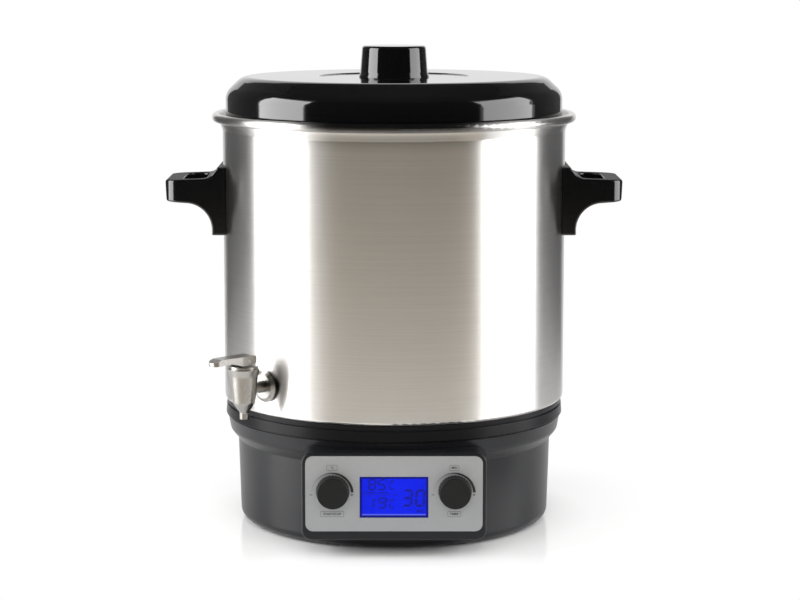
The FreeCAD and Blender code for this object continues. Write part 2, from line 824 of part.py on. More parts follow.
# Control box on the front of the base.
box_middle = (s.box_top + s.box_bottom) / 2
seat_face = panel_reach - s.plate_seat
inner_face = seat_face - s.box_wall
box = new_body("control_box")
pad(box, "XZ_Plane",
    [rectangle(-s.box_width / 2, s.box_width / 2, s.box_bottom, s.box_top, s.box_corner)],
    panel_reach - s.box_depth, s.box_depth)
front_face = -read(panel_reach)
round_edges(box, s.box_edge_round, lambda point, edge: abs(point.y - front_face) < 1e-4)
plate_low = s.panel_level - s.plate_height / 2
plate_high = s.panel_level + s.plate_height / 2
pocket(box, "XZ_Plane",
       [rectangle(-plate_width / 2 - s.slip, plate_width / 2 + s.slip,
                  plate_low - s.slip, plate_high + s.slip, s.plate_corner + s.slip)],
       panel_reach + s.plate_seat, s.plate_seat * 2)
pocket(box, "XZ_Plane",
       [rectangle(-s.box_width / 2 + s.box_wall, s.box_width / 2 - s.box_wall,
                  s.box_bottom + s.box_wall, s.box_top - s.box_wall, s.box_corner - s.box_wall)],
       inner_face, panel_reach)
board_front = panel_reach - s.display_board_gap
post_marks = [(x, s.display_level + z) for x in (board_post_x, -board_post_x)
              for z in (s.board_post_z, -s.board_post_z)]
pad(box, "XZ_Plane", [Ring(x, z, s.board_post_radius) for x, z in post_marks],
    board_front, inner_face - board_front + s.box_wall / 2)
revolve(box, [(0, 0), (base_foot_radius + s.slip, 0)] + base_skin(s.slip) + [
    (lip_radius + s.slip, base_top + s.ring_height),
    (0, base_top + s.ring_height),
], "Groove")
pane_half = s.display_width / 2 + s.pane_lap
pane_rise = s.display_height / 2 + s.pane_lap
pocket(box, "XZ_Plane",
       [rectangle(-pane_half - s.slip, pane_half + s.slip,
                  s.display_level - pane_rise - s.slip, s.display_level + pane_rise + s.slip)]
       + [Ring(x, s.dial_level, s.bushing_radius + s.slip) for x in (dial_x, -dial_x)],
       panel_reach, s.plate_seat + s.box_wall * 2)

# Panel plate, display and the board behind them.
plate = new_body("panel_plate")
pad(plate, "XZ_Plane", [
    rectangle(-plate_width / 2, plate_width / 2, plate_low, plate_high, s.plate_corner),
    rectangle(-s.display_width / 2, s.display_width / 2,
              s.display_level - s.display_height / 2, s.display_level + s.display_height / 2),
    Ring(dial_x, s.dial_level, s.bushing_radius + s.slip),
    Ring(-dial_x, s.dial_level, s.bushing_radius + s.slip),
], seat_face, s.plate_seat + s.plate_proud)
node(block("display_window", 0, -seat_face + s.pane_thick / 2, s.display_level - pane_rise,
           pane_half * 2, s.pane_thick, pane_rise * 2), "display_window")
pane_back = seat_face - s.pane_thick
node(block("lcd_module", 0, -(pane_back + board_front) / 2, s.display_level - pane_rise,
           pane_half * 2, pane_back - board_front, pane_rise * 2), "lcd_module")
board = new_body("display_board")
pad(board, "XZ_Plane", [
    rectangle(-display_board_width / 2, display_board_width / 2,
              s.display_level - s.display_board_height / 2,
              s.display_level + s.display_board_height / 2, s.board_thick),
] + [Ring(x, z, s.board_screw_radius + s.slip) for x, z in post_marks],
    board_front - s.board_thick, s.board_thick)
board_back = board_front - s.board_thick
node(rod("buzzer", s.buzzer_radius, s.buzzer_height, TO_Y, s.buzzer_x, -board_back,
         s.display_level - s.buzzer_drop), "buzzer")
pocket(box, "XZ_Plane", [Ring(x, z, s.board_screw_radius + s.snug) for x, z in post_marks],
       board_front + s.board_screw_length, s.board_screw_length * 2)
gather("display_screws", [
    screw("display_screw", s.board_screw_radius, s.board_screw_length, s.board_screw_head,
          s.board_screw_head_thick, TO_MINUS_Y, x, -board_back, z, (0, -1, 0))
    for x, z in post_marks
])

# Dials: each cap sits on a shaft that slides through its encoder's rotor and turns it.
encoder_front = -s.display_board_gap + s.encoder_height
rotor_front = encoder_front - s.encoder_wall - s.slip
collar_back = rotor_front - s.slip + s.dial_travel + s.slip * 2
dial_back = s.plate_proud + s.dial_gap
dial_front = dial_back + s.dial_height
shaft_front = dial_front - s.dial_cap_thick
half_drive = s.drive_width / 2
drive_fit = half_drive + s.run_fit
shaft_back = -s.display_board_gap + s.dial_travel + s.slip * 2
for side, x in (("left", -dial_x), ("right", dial_x)):
    spot = {"x": x, "y": -panel_reach, "z": s.dial_level, "rotation": TO_MINUS_Y}
    half = s.encoder_width / 2
    can = place(new_body(f"{side}_encoder_body"), **spot)
    pad(can, "XY_Plane", [rectangle(-half, half, -half, half)], -s.display_board_gap, s.encoder_height)
    pad(can, "XY_Plane", [Ring(0, 0, s.bushing_radius)], encoder_front - s.encoder_wall / 2,
        s.bushing_reach + s.encoder_wall / 2 - encoder_front)
    pocket(can, "XY_Plane", [Ring(0, 0, s.rotor_radius + s.slip)], encoder_front - s.encoder_wall,
           s.encoder_height)
    pocket(can, "XY_Plane", [Ring(0, 0, s.shaft_radius + s.run_fit)], s.bushing_reach,
           s.display_board_gap + s.bushing_reach)
    rotor = place(new_body(f"{side}_encoder_rotor"), **spot)
    pad(rotor, "XY_Plane", [
        Ring(0, 0, s.rotor_radius),
        rectangle(-drive_fit, drive_fit, -drive_fit, drive_fit),
    ], -s.display_board_gap + s.slip, rotor_front + s.display_board_gap - s.slip)
    shaft = place(new_body(f"{side}_dial_shaft"), **spot)
    pad(shaft, "XY_Plane", [Ring(0, 0, s.shaft_radius)], collar_back, shaft_front - collar_back)
    pad(shaft, "XY_Plane", [rectangle(-half_drive, half_drive, -half_drive, half_drive)],
        shaft_back, collar_back - shaft_back + s.encoder_wall)
    dial = place(new_body(f"{side}_dial"), **spot)
    revolve(dial, [
        (s.shaft_radius + s.snug, dial_back),
        (s.dial_radius, dial_back),
        (s.dial_front_radius, dial_front, s.dial_round),
        (0, dial_front),
        (0, shaft_front),
        (s.shaft_radius + s.snug, shaft_front),
    ])
    rib = pocket(dial, "XY_Plane", [Ring(s.dial_radius + s.dial_rib_radius / 4, 0, s.dial_rib_radius)],
                 dial_front - s.dial_round, s.dial_height)
    ribs = dial.newObject("PartDesign::PolarPattern", "Ribs")
    ribs.Originals = [rib]
    ribs.Axis = (next(o for o in dial.Origin.OriginFeatures if o.Role == "Z_Axis"), [""])
    ribs.Angle = 360.0
    ribs.Occurrences = int(read(s.dial_rib_count))
    bind(ribs, "Occurrences", s.dial_rib_count)
    dial.Tip = ribs
    doc.recompute()

# Power board on the posts of the bottom cover.
power_board = new_body("power_board")
pad(power_board, "XY_Plane", [
    rectangle(-s.power_board_length / 2, s.power_board_length / 2,
              s.power_board_back - s.power_board_width / 2,
              s.power_board_back + s.power_board_width / 2, s.board_thick),
] + [Ring(x, y, s.board_screw_radius + s.slip) for x, y in post_spots], post_top, s.board_thick)
board_top = post_top + s.board_thick
gather("power_board_screws", [
    screw("power_screw", s.board_screw_radius, s.board_screw_length, s.board_screw_head,
          s.board_screw_head_thick, FreeCAD.Rotation(Vector(1, 0, 0), 180), x, y, board_top,
          (0, 0, -1))
    for x, y in post_spots
])
node(block("transformer", -s.power_board_length / 5, s.power_board_back, board_top,
           s.transformer_length, s.transformer_width, s.transformer_height), "transformer")
node(block("relay", s.power_board_length / 5, s.power_board_back + s.power_board_width / 8, board_top,
           s.relay_length, s.relay_width, s.relay_height), "relay")
node(rod("capacitor", s.capacitor_radius, s.capacitor_height, UPRIGHT,
         s.power_board_length / 5, s.power_board_back - s.power_board_width / 8, board_top), "capacitor")
node(block("terminal_block", s.power_board_length / 12,
           s.power_board_back + s.power_board_width / 2 - s.terminal_width, board_top,
           s.terminal_length, s.terminal_width, s.terminal_height), "terminal_block")

# Lid: a thin black shell that drops into the flared mouth, with a knob in its dish.
lid_top = pot_top + s.lid_height
brim_level = pot_top - s.brim_drop
brim_radius = lid_radius + s.brim_reach
dish_level = lid_top - s.dish_depth
skirt_top = pot_top + s.lid_skirt
turned("lid_shell", [
    (lid_radius - s.lid_wall, brim_level),
    (brim_radius, brim_level),
    (brim_radius, brim_level + s.brim_thick),
    (lid_radius, brim_level + s.brim_thick * 2),
    (lid_radius, skirt_top, s.lid_edge_round),
    (lid_top_radius, lid_top, s.lid_edge_round),
    (s.dish_radius, lid_top, s.dish_slope / 2),
    (s.dish_radius - s.dish_slope, dish_level, s.dish_slope / 2),
    (s.knob_screw_radius + s.slip, dish_level),
    (s.knob_screw_radius + s.slip, dish_level - s.lid_wall),
    (s.dish_radius - s.dish_slope, dish_level - s.lid_wall, s.dish_slope / 2),
    (s.dish_radius, lid_top - s.lid_wall, s.dish_slope / 2),
    (lid_top_radius - s.lid_wall / 2, lid_top - s.lid_wall, s.lid_edge_round - s.lid_wall),
    (lid_radius - s.lid_wall, skirt_top - s.lid_wall / 2, s.lid_edge_round - s.lid_wall),
])
knob_top = dish_level + s.knob_height
knob_roof = knob_top - s.knob_wall
turned("lid_knob", [
    (s.knob_foot_radius - s.knob_wall, dish_level),
    (s.knob_foot_radius, dish_level),
    (s.knob_waist_radius, dish_level + s.knob_flare, s.knob_round),
    (s.knob_top_radius, knob_top, s.knob_round),
    (0, knob_top),
    (0, dish_level + s.knob_screw_depth),
    (s.knob_screw_radius + s.snug, dish_level + s.knob_screw_depth),
    (s.knob_screw_radius + s.snug, dish_level),
    (s.knob_boss_radius, dish_level),
    (s.knob_boss_radius, knob_roof),
    (s.knob_top_radius - s.knob_wall, knob_roof),
])
washer_level = dish_level - s.lid_wall - s.washer_thick
turned("lid_knob_washer", [
    (s.knob_screw_radius + s.slip, washer_level),
    (s.washer_radius, washer_level),
    (s.washer_radius, washer_level + s.washer_thick),
    (s.knob_screw_radius + s.slip, washer_level + s.washer_thick),
])
knob_screw_length = s.knob_screw_depth + s.lid_wall + s.washer_thick - s.slip
turned("lid_knob_screw", [
    (0, washer_level - s.washer_thick * 2),
    (s.knob_screw_head, washer_level - s.washer_thick * 2, s.washer_thick),
    (s.knob_screw_head, washer_level),
    (s.knob_screw_radius, washer_level),
    (s.knob_screw_radius, washer_level + knob_screw_length),
    (0, washer_level + knob_screw_length),
])

# Handles: a bridge grip with a finger gap, screwed from inside the pot.
grip_end = s.pot_radius + s.handle_reach
gap_end = grip_end - s.grip_bar
gap_start = gap_end - s.grip_gap
plate_edge = s.pot_radius + s.handle_plate
foot_edge = s.pot_radius + s.handle_foot
half_width = s.handle_width / 2


def on_grip_outline(point, edge):
    """Edges of the grip's two sides and of its finger gap, but not the gap's upright corners."""
    middle = (edge.FirstParameter + edge.LastParameter) / 2
    if abs(edge.tangentAt(middle).z) > 0.9:
        return False
    on_side = abs(abs(point.y) - read(half_width)) < 1e-4
    in_gap = (
        read(gap_start) - 1e-4 < point.x < read(gap_end) + 1e-4
        and abs(point.y) < read(half_width - s.grip_arm) + 1e-4
    )
    return on_side or in_gap


for side, rotation in (("right", UPRIGHT), ("left", FreeCAD.Rotation(Vector(0, 0, 1), 180))):
    handle = new_body(f"{side}_handle")
    pad(handle, "XZ_Plane", [[
        (s.pot_radius * 0.9, s.handle_crest),
        (plate_edge - s.handle_plate / 2, s.handle_crest, s.handle_plate / 4),
        (plate_edge + s.handle_plate, 0, s.handle_plate * 2),
        (grip_end, -s.handle_plate / 4, s.handle_plate / 2),
        (grip_end - s.handle_plate / 4, -s.handle_end_drop, s.handle_plate / 2),
        (foot_edge, -s.handle_end_drop - s.handle_plate / 2, s.handle_sweep),
        (foot_edge, -s.handle_foot_drop, s.handle_plate / 4),
        (s.pot_radius * 0.9, -s.handle_foot_drop),
    ]], -half_width, s.handle_width)
    pocket(handle, "XY_Plane", [
        rectangle(0, grip_end * 1.2, -s.handle_width, s.handle_width),
        [
            (s.pot_radius / 2, -half_width),
            (grip_end, -half_width, s.handle_corner),
            (grip_end, half_width, s.handle_corner),
            (s.pot_radius / 2, half_width),
        ],
    ], s.handle_crest * 2, s.handle_foot_drop * 2)
    pocket(handle, "XY_Plane", [
        rectangle(gap_start, gap_end, -half_width + s.grip_arm, half_width - s.grip_arm,
                  s.grip_gap_round),
    ], s.handle_crest * 2, s.handle_foot_drop * 2)
    round_edges(handle, s.handle_round, on_grip_outline)
    revolve(handle, [
        (0, -s.handle_foot_drop * 2),
        (s.pot_radius + s.slip, -s.handle_foot_drop * 2),
        (s.pot_radius + s.slip, s.handle_crest * 2),
        (0, s.handle_crest * 2),
    ], "Groove")
    pocket(handle, "YZ_Plane",
           [Ring(0, -drop, s.insert_radius + s.snug)
            for drop in (s.handle_screw_low, s.handle_screw_high)],
           s.pot_radius + s.slip + s.insert_length, s.insert_length * 2)
    place(handle, z=handle_top, rotation=rotation)

ways = ((1, TO_X), (-1, TO_MINUS_X))
inner_seat = pot_inside - s.slip - s.seal_thick
gather("handle_screws", [
    screw("handle_screw", s.handle_screw_radius, s.insert_length + s.seal_thick + s.pot_wall,
          s.handle_screw_head, s.handle_screw_head_thick, turn, inner_seat * way, 0, level,
          (way, 0, 0))
    for way, turn in ways for level in handle_screw_levels
])
gather("handle_screw_seals", [
    carve("seal",
          rod("seal_blank", s.seal_radius, s.seal_thick, turn, inner_seat * way, 0, level),
          rod("seal_bore", s.handle_screw_radius + s.snug, s.seal_thick, turn,
              inner_seat * way, 0, level))
    for way, turn in ways for level in handle_screw_levels
])
gather("handle_inserts", [
    carve("insert",
          rod("insert_blank", s.insert_radius, s.insert_length, turn,
              (s.pot_radius + s.slip) * way, 0, level),
          rod("insert_bore", s.handle_screw_radius + s.snug, s.insert_length, turn,
              (s.pot_radius + s.slip) * way, 0, level))
    for way, turn in ways for level in handle_screw_levels
])

# Tap: its own axis stands out of the wall, turned round the pot; local x points outwards.
tap_x, tap_y = polar(tap_axis, s.tap_turn)
tap_spot = {
    "x": tap_x,
    "y": tap_y,
    "z": pot_level + s.tap_level,
    "rotation": FreeCAD.Rotation(Vector(0, 0, 1), read(s.tap_turn)),
}


def place_tap(thing):
    place(thing, **tap_spot)
    bind(thing, "Placement.Rotation.Angle", s.tap_turn)
    return thing


def tap_body_of(label):
    return place_tap(new_body(label))


wall_face = s.slip - s.tap_axis_reach
outer_face = wall_face + s.tap_seal_thick
inner_face_tap = -s.tap_axis_reach - s.pot_wall - s.slip * 2
nut_face = inner_face_tap - s.tap_seal_thick
shank_end = -s.tap_axis_reach - s.shank_inside
nozzle_top = -s.tap_waist_drop - s.tap_cone_height
seat_level = -s.tap_seat_drop
tap = tap_body_of("tap_body")
revolve(tap, [
    (0, nozzle_top - s.tap_nozzle_length),
    (s.tap_nozzle_radius, nozzle_top - s.tap_nozzle_length),
    (s.tap_nozzle_radius, nozzle_top, s.tap_nozzle_radius / 2),
    (s.tap_waist_radius, -s.tap_waist_drop, s.tap_nozzle_radius),
    (s.tap_top_radius - s.tap_nozzle_radius / 2, s.tap_shoulder_rise, s.tap_waist_radius),
    (s.tap_top_radius, s.tap_top_rise, s.snug * 10),
    (0, s.tap_top_rise),
])
pad(tap, "YZ_Plane", [Ring(0, 0, s.shank_radius)], shank_end, -shank_end)
pocket(tap, "XY_Plane", [Ring(0, 0, s.tap_chamber_radius)], s.tap_top_rise,
       s.tap_top_rise - seat_level)
pocket(tap, "XY_Plane", [Ring(0, 0, s.tap_nozzle_bore)], seat_level,
       seat_level - nozzle_top + s.tap_nozzle_length * 2)
pocket(tap, "YZ_Plane", [Ring(0, 0, s.shank_bore)], 0, -shank_end * 2)


def across(label, corners):
    """A turned piece about the shank; its own z runs outwards along the shank."""
    body = new_body(label)
    revolve(body, corners)
    reach = tap_axis
    x, y = polar(reach, s.tap_turn)
    turn = FreeCAD.Rotation(Vector(0, 0, 1), read(s.tap_turn)).multiply(TO_X)
    return place(body, x, y, pot_level + s.tap_level, turn)


def washer(label, bore, radius, near, thick):
    return across(label, [
        (bore, near),
        (radius, near),
        (radius, near + thick),
        (bore, near + thick),
    ])


washer("tap_outer_seal", s.shank_radius + s.snug, s.tap_seal_radius, wall_face, s.tap_seal_thick)
washer("tap_inner_seal", s.shank_radius + s.snug, s.tap_seal_radius, nut_face, s.tap_seal_thick)
across("tap_rosette", [
    (s.shank_radius + s.snug, outer_face),
    (s.rosette_radius, outer_face),
    (s.rosette_radius, outer_face + s.rosette_thick - s.rosette_bevel),
    (s.rosette_radius - s.rosette_bevel * 2, outer_face + s.rosette_thick),
    (s.shank_radius + s.snug, outer_face + s.rosette_thick),
])
nut = tap_body_of("tap_nut")
nut_corners = [polar(s.tap_nut_radius, 60.0 * i) for i in range(6)]
pad(nut, "YZ_Plane", [nut_corners, Ring(0, 0, s.shank_radius + s.snug)],
    nut_face - s.tap_nut_thick, s.tap_nut_thick)

pin_level = s.tap_top_rise + s.bonnet_thick + s.cam_gap + s.cam_radius
bonnet_top = s.tap_top_rise + s.bonnet_thick
bonnet = tap_body_of("tap_bonnet")
revolve(bonnet, [
    (s.stem_radius + s.run_fit, s.tap_top_rise - s.bonnet_neck),
    (s.tap_chamber_radius - s.run_fit, s.tap_top_rise - s.bonnet_neck),
    (s.tap_chamber_radius - s.run_fit, s.tap_top_rise),
    (s.bonnet_radius, s.tap_top_rise),
    (s.bonnet_radius, bonnet_top, s.bonnet_thick / 3),
    (s.stem_radius + s.run_fit, bonnet_top),
])
plug_top = seat_level + s.plug_height
flange_top = plug_top + s.stem_flange_thick
neck_level = bonnet_top - s.stem_lift - s.run_fit
stem = tap_body_of("tap_stem")
revolve(stem, [
    (0, plug_top),
    (s.stem_flange_radius, plug_top),
    (s.stem_flange_radius, flange_top),
    (s.stem_radius, flange_top),
    (s.stem_radius, neck_level),
    (0, neck_level),
])
half_eye = s.eye_width / 2
eye_foot = neck_level - s.run_fit
pad(stem, "XZ_Plane", [[
    (-half_eye, eye_foot),
    (half_eye, eye_foot),
    (half_eye, pin_level + s.stem_radius, half_eye / 2),
    (-half_eye, pin_level + s.stem_radius, half_eye / 2),
]], -half_eye, s.eye_width)
pocket(stem, "XZ_Plane", [Ring(0, pin_level, s.pin_radius + s.run_fit)], s.eye_width, s.eye_width * 2)
turned("tap_seat_seal", [
    (0, seat_level),
    (s.plug_radius, seat_level),
    (s.plug_radius, plug_top),
    (0, plug_top),
])
place_tap(nodes[-1])
spring_top = s.tap_top_rise - s.bonnet_neck
turned("tap_spring", [
    (s.spring_radius - s.spring_wire, flange_top),
    (s.spring_radius, flange_top),
    (s.spring_radius, spring_top),
    (s.spring_radius - s.spring_wire, spring_top),
])
place_tap(nodes[-1])

lever = tap_body_of("tap_lever")
heel = s.cam_throw + s.cam_radius
half_lever = s.lever_width / 2
lever_top = pin_level + s.lever_crown
tip_top = lever_top - s.lever_crown / 5
pad(lever, "XZ_Plane", [[
    (-heel, pin_level - s.cam_radius, s.cam_radius),
    (s.cam_radius * 2, pin_level - s.cam_radius, s.cam_radius),
    (s.lever_reach / 2, tip_top - s.lever_tip_thick * 1.3, s.lever_reach / 3),
    (s.lever_reach, tip_top - s.lever_tip_thick * 1.6, s.lever_tip_thick / 4),
    (s.lever_reach, tip_top - s.lever_tip_thick / 2, s.lever_tip_thick / 4),
    (s.lever_reach * 0.8, lever_top, s.lever_reach / 6),
    (-heel, lever_top - s.snug, s.cam_radius / 2),
]], -half_lever, s.lever_width)
half_tip = s.lever_tip_width / 2
pocket(lever, "XY_Plane", [
    rectangle(-s.lever_reach, s.lever_reach * 1.5, -s.lever_width, s.lever_width),
    [
        (-heel - s.cam_radius, -half_lever),
        (s.cam_radius * 2, -half_lever, s.lever_reach / 4),
        (s.lever_reach, -half_tip, half_tip * 0.8),
        (s.lever_reach, half_tip, half_tip * 0.8),
        (s.cam_radius * 2, half_lever, s.lever_reach / 4),
        (-heel - s.cam_radius, half_lever),
    ],
], lever_top + s.cam_radius, s.lever_crown + s.cam_radius * 4)
slot = s.stem_radius + s.slip
pocket(lever, "XZ_Plane", [
    rectangle(-heel * 1.5, slot + s.slip, pin_level - s.cam_radius * 2, pin_level + slot + s.slip),
], half_eye + s.slip, s.eye_width + s.slip * 2)
pocket(lever, "XZ_Plane", [Ring(0, pin_level, s.pin_radius + s.snug)], s.lever_width, s.lever_width * 2)
pin = tap_body_of("tap_lever_pin")
pad(pin, "XZ_Plane", [Ring(0, pin_level, s.pin_radius)], -half_lever, s.lever_width)

doc.recompute()
for thing in doc.Objects:
    if "Invalid" in thing.State or "Error" in thing.State:
        raise RuntimeError(f"{thing.Label} ({thing.Name}) failed: {thing.State}")
for thing in nodes:
    if thing.Shape.isNull() or not thing.Shape.isValid() or not thing.Shape.Solids:
        raise RuntimeError(f"{thing.Label} has no sound shape")

os.makedirs("parts", exist_ok=True)
for thing in nodes:
    thing.Shape.exportStep(f"parts/{thing.Label}.step")
print(f"{len(nodes)} nodes written")
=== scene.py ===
"""Finishes, panel print, lit display and studio for the CAD frame of a preserving cooker.

Lengths are in metres and angles in degrees, unless a line says otherwise.
"""

import math

import bmesh
import bpy
from bpy.props import (
    FloatProperty,
    FloatVectorProperty,
    IntProperty,
    PointerProperty,
    StringProperty,
)
from mathutils import Matrix, Vector


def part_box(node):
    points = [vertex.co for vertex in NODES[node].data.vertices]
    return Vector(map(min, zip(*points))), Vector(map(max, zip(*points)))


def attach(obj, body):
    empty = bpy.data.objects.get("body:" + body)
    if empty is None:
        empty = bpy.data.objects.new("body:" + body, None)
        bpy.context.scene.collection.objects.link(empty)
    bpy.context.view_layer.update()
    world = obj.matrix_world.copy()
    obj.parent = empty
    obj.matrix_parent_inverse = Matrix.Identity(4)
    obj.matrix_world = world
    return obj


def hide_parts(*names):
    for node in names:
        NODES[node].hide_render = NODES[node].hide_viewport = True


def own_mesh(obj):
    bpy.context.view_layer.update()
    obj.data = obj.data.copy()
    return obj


bl_info = {
    "name": "Preserving cooker finishes",
    "version": (1, 0, 0),
    "blender": (4, 5, 0),
    "location": "View3D > Sidebar > Cooker",
    "description": "Finishes, panel print, lit display and studio for a steel preserving cooker",
    "category": "Object",
}

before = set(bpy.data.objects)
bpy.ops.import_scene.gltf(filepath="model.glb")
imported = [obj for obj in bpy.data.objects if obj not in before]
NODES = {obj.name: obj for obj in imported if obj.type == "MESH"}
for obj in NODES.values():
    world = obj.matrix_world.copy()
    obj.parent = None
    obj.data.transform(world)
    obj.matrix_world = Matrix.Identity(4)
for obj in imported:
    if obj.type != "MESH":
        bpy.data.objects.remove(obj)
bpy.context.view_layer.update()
PLATE_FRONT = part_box("panel_plate")[0].y
PANE_LOW, PANE_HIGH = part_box("display_window")
POT_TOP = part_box("pot")[1].z
SPRING_LOW, SPRING_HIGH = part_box("tap_spring")
LEFT_DIAL = sum(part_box("left_dial"), Vector()) / 2
RIGHT_DIAL = sum(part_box("right_dial"), Vector()) / 2

# The pot's rolled edge carries a painted dark reflection: (share of the band's height, tone) stops.
# The dark tones hold in front and fade between two angles from there, down to a share that stays
# all round.
MOUTH_REFLECTION_BAND = 0.03
MOUTH_REFLECTION_TONES = (
    (0.05, 1.0), (0.32, 0.8), (0.47, 0.42), (0.6, 0.55), (0.665, 0.8), (0.73, 0.25), (0.8, 0.1),
)
MOUTH_REFLECTION_TURN = (18.0, 37.0)
MOUTH_REFLECTION_REST = 0.12

# The matt wear on upward faces: it sets in between these heights of the face's normal.
WORN_FROM, WORN_FULL = 0.55, 0.95

# Room for the coil between its seats.
SPRING_PLAY = Vector((0.0, 0.0, 0.00005))

# Print round each dial, as (x, z) from the dial's middle.
ARC_STEPS = 48
ARC_START, ARC_SWEEP, ARC_SWELL = 176.0, 174.0, 1.2
ARC_SHIFT = (-0.001, -0.0021)
SIGN_HALF, SIGN_BAR = 0.0013, 0.0003
SIGN_LEVEL, MINUS_AT, PLUS_AT = -0.0038, -0.0213, 0.0183
LABEL_AT, HEADING_LEVEL, BUTTON_LEVEL = -0.0008, 0.0229, -0.0228
LETTER_HEIGHT, LETTER_BOLD, LETTER_DEPTH = 0.0031, 0.00006, 0.00003
LABEL_HEIGHT, LABEL_INNER, LABEL_OUTER = 0.0050, 0.0009, 0.00115
# For each dial: heading, word below it, and the widths of their frames.
WORDS = {
    "left": ("°C", "START/STOP", 0.0100, 0.0222),
    "right": ("MIN", "TIMER", 0.0086, 0.0124),
}

# The display, as (x, z) from its middle. Figures: left, low, pitch, width, height and bar.
SEGMENTS = {
    "0": "abcdef", "1": "bc", "2": "abdeg", "3": "abcdg", "4": "bcfg", "5": "acdfg",
    "6": "acdefg", "7": "abc", "8": "abcdefg", "9": "abcdfg", "C": "adef",
}
FIGURE_LEAN = 0.08
FIGURE_GAP = 0.12
UPPER_FIGURES = (-0.0246, 0.0074, 0.0092, 0.0062, 0.0098, 0.0015)
UPPER_UNIT = (-0.0042, 0.0080, 0.0, 0.0042, 0.0078, 0.0011)
LOWER_FIGURES = (-0.0260, -0.0106, 0.0114, 0.0060, 0.0098, 0.0015)
LOWER_UNIT = (-0.0042, -0.0104, 0.0, 0.0042, 0.0078, 0.0011)
MINUTE_FIGURES = (0.0090, -0.0085, 0.0120, 0.0074, 0.0150, 0.0022)
DEGREE_SIGNS = ((-0.0068, 0.0152), (-0.0068, -0.0030))
DEGREE_INNER, DEGREE_OUTER, DEGREE_STEPS = 0.00055, 0.0011, 12
# Lines: left, right, level and thickness.
LINES = (
    (-0.0305, 0.0030, 0.0024, 0.0004),
    (-0.0285, -0.0180, 0.0044, 0.0009),
    (-0.0150, -0.0060, 0.0044, 0.0009),
)
MINUTES_AT, MINUTES_LEVEL, MINUTES_HEIGHT = 0.0250, -0.0140, 0.0034
FIGURE_PLAY, FIGURE_FILM = 0.00004, 0.00006
# The dark rim of the lit pane, and the line of its lamp by share of the pane's height.
RIM_FROM, RIM_TO = 0.0032, 0.0038
LAMP_LINE = ((0.0, 0.0), (0.055, 0.0), (0.08, 1.0), (0.12, 0.0))

# The studio. Cards on the floor lie at CARD_LEVEL; angles count from the front to the right.
FLOOR_HALF = 6.0
FLOOR_CLOSE, FLOOR_OPEN = (0.16, 0.212, 0.0, 0.4), (0.2, 0.44, 0.0, 0.6)
CARD_LEVEL = 0.003
ROOM_RADIUS, ROOM_HEIGHT = 3.0, 2.6
FRONT_FROM, FRONT_TO = -60.0, 58.0
MAT_NEAR = 0.5
RIGHT_NEAR, RIGHT_FAR, RIGHT_TO = 0.38, 0.95, 86.0
FLAG_RADIUS, FLAG_HEIGHT, SHADE_NEAR = 1.2, 1.8, 0.95
FLAGS = (("left", -150.0, -98.0), ("right", 103.0, 150.0))
# A card's tones run out to PAINT_REACH. A side's tone sets in from SIDE_FAR inwards.
PAINT_REACH = 3.2
SIDE_FAR, SIDE_FULL = 2.9, 2.5
WHITE_LIGHT, WARM_LIGHT = (1.0, 1.0, 1.0), (1.0, 0.99, 0.97)


class Wire:
    """A shader socket that takes part in sums, products and powers."""

    def __init__(self, finish, socket):
        self.finish = finish
        self.socket = socket

    def __add__(self, other):
        return self.finish.calc("ADD", self, other)

    def __radd__(self, other):
        return self.finish.calc("ADD", other, self)

    def __sub__(self, other):
        return self.finish.calc("SUBTRACT", self, other)

    def __rsub__(self, other):
        return self.finish.calc("SUBTRACT", other, self)

    def __mul__(self, other):
        return self.finish.calc("MULTIPLY", self, other)

    def __rmul__(self, other):
        return self.finish.calc("MULTIPLY", other, self)

    def __truediv__(self, other):
        return self.finish.calc("DIVIDE", self, other)

    def __rtruediv__(self, other):
        return self.finish.calc("DIVIDE", other, self)

    def __pow__(self, other):
        return self.finish.calc("POWER", self, other)

    def __rpow__(self, other):
        return self.finish.calc("POWER", other, self)


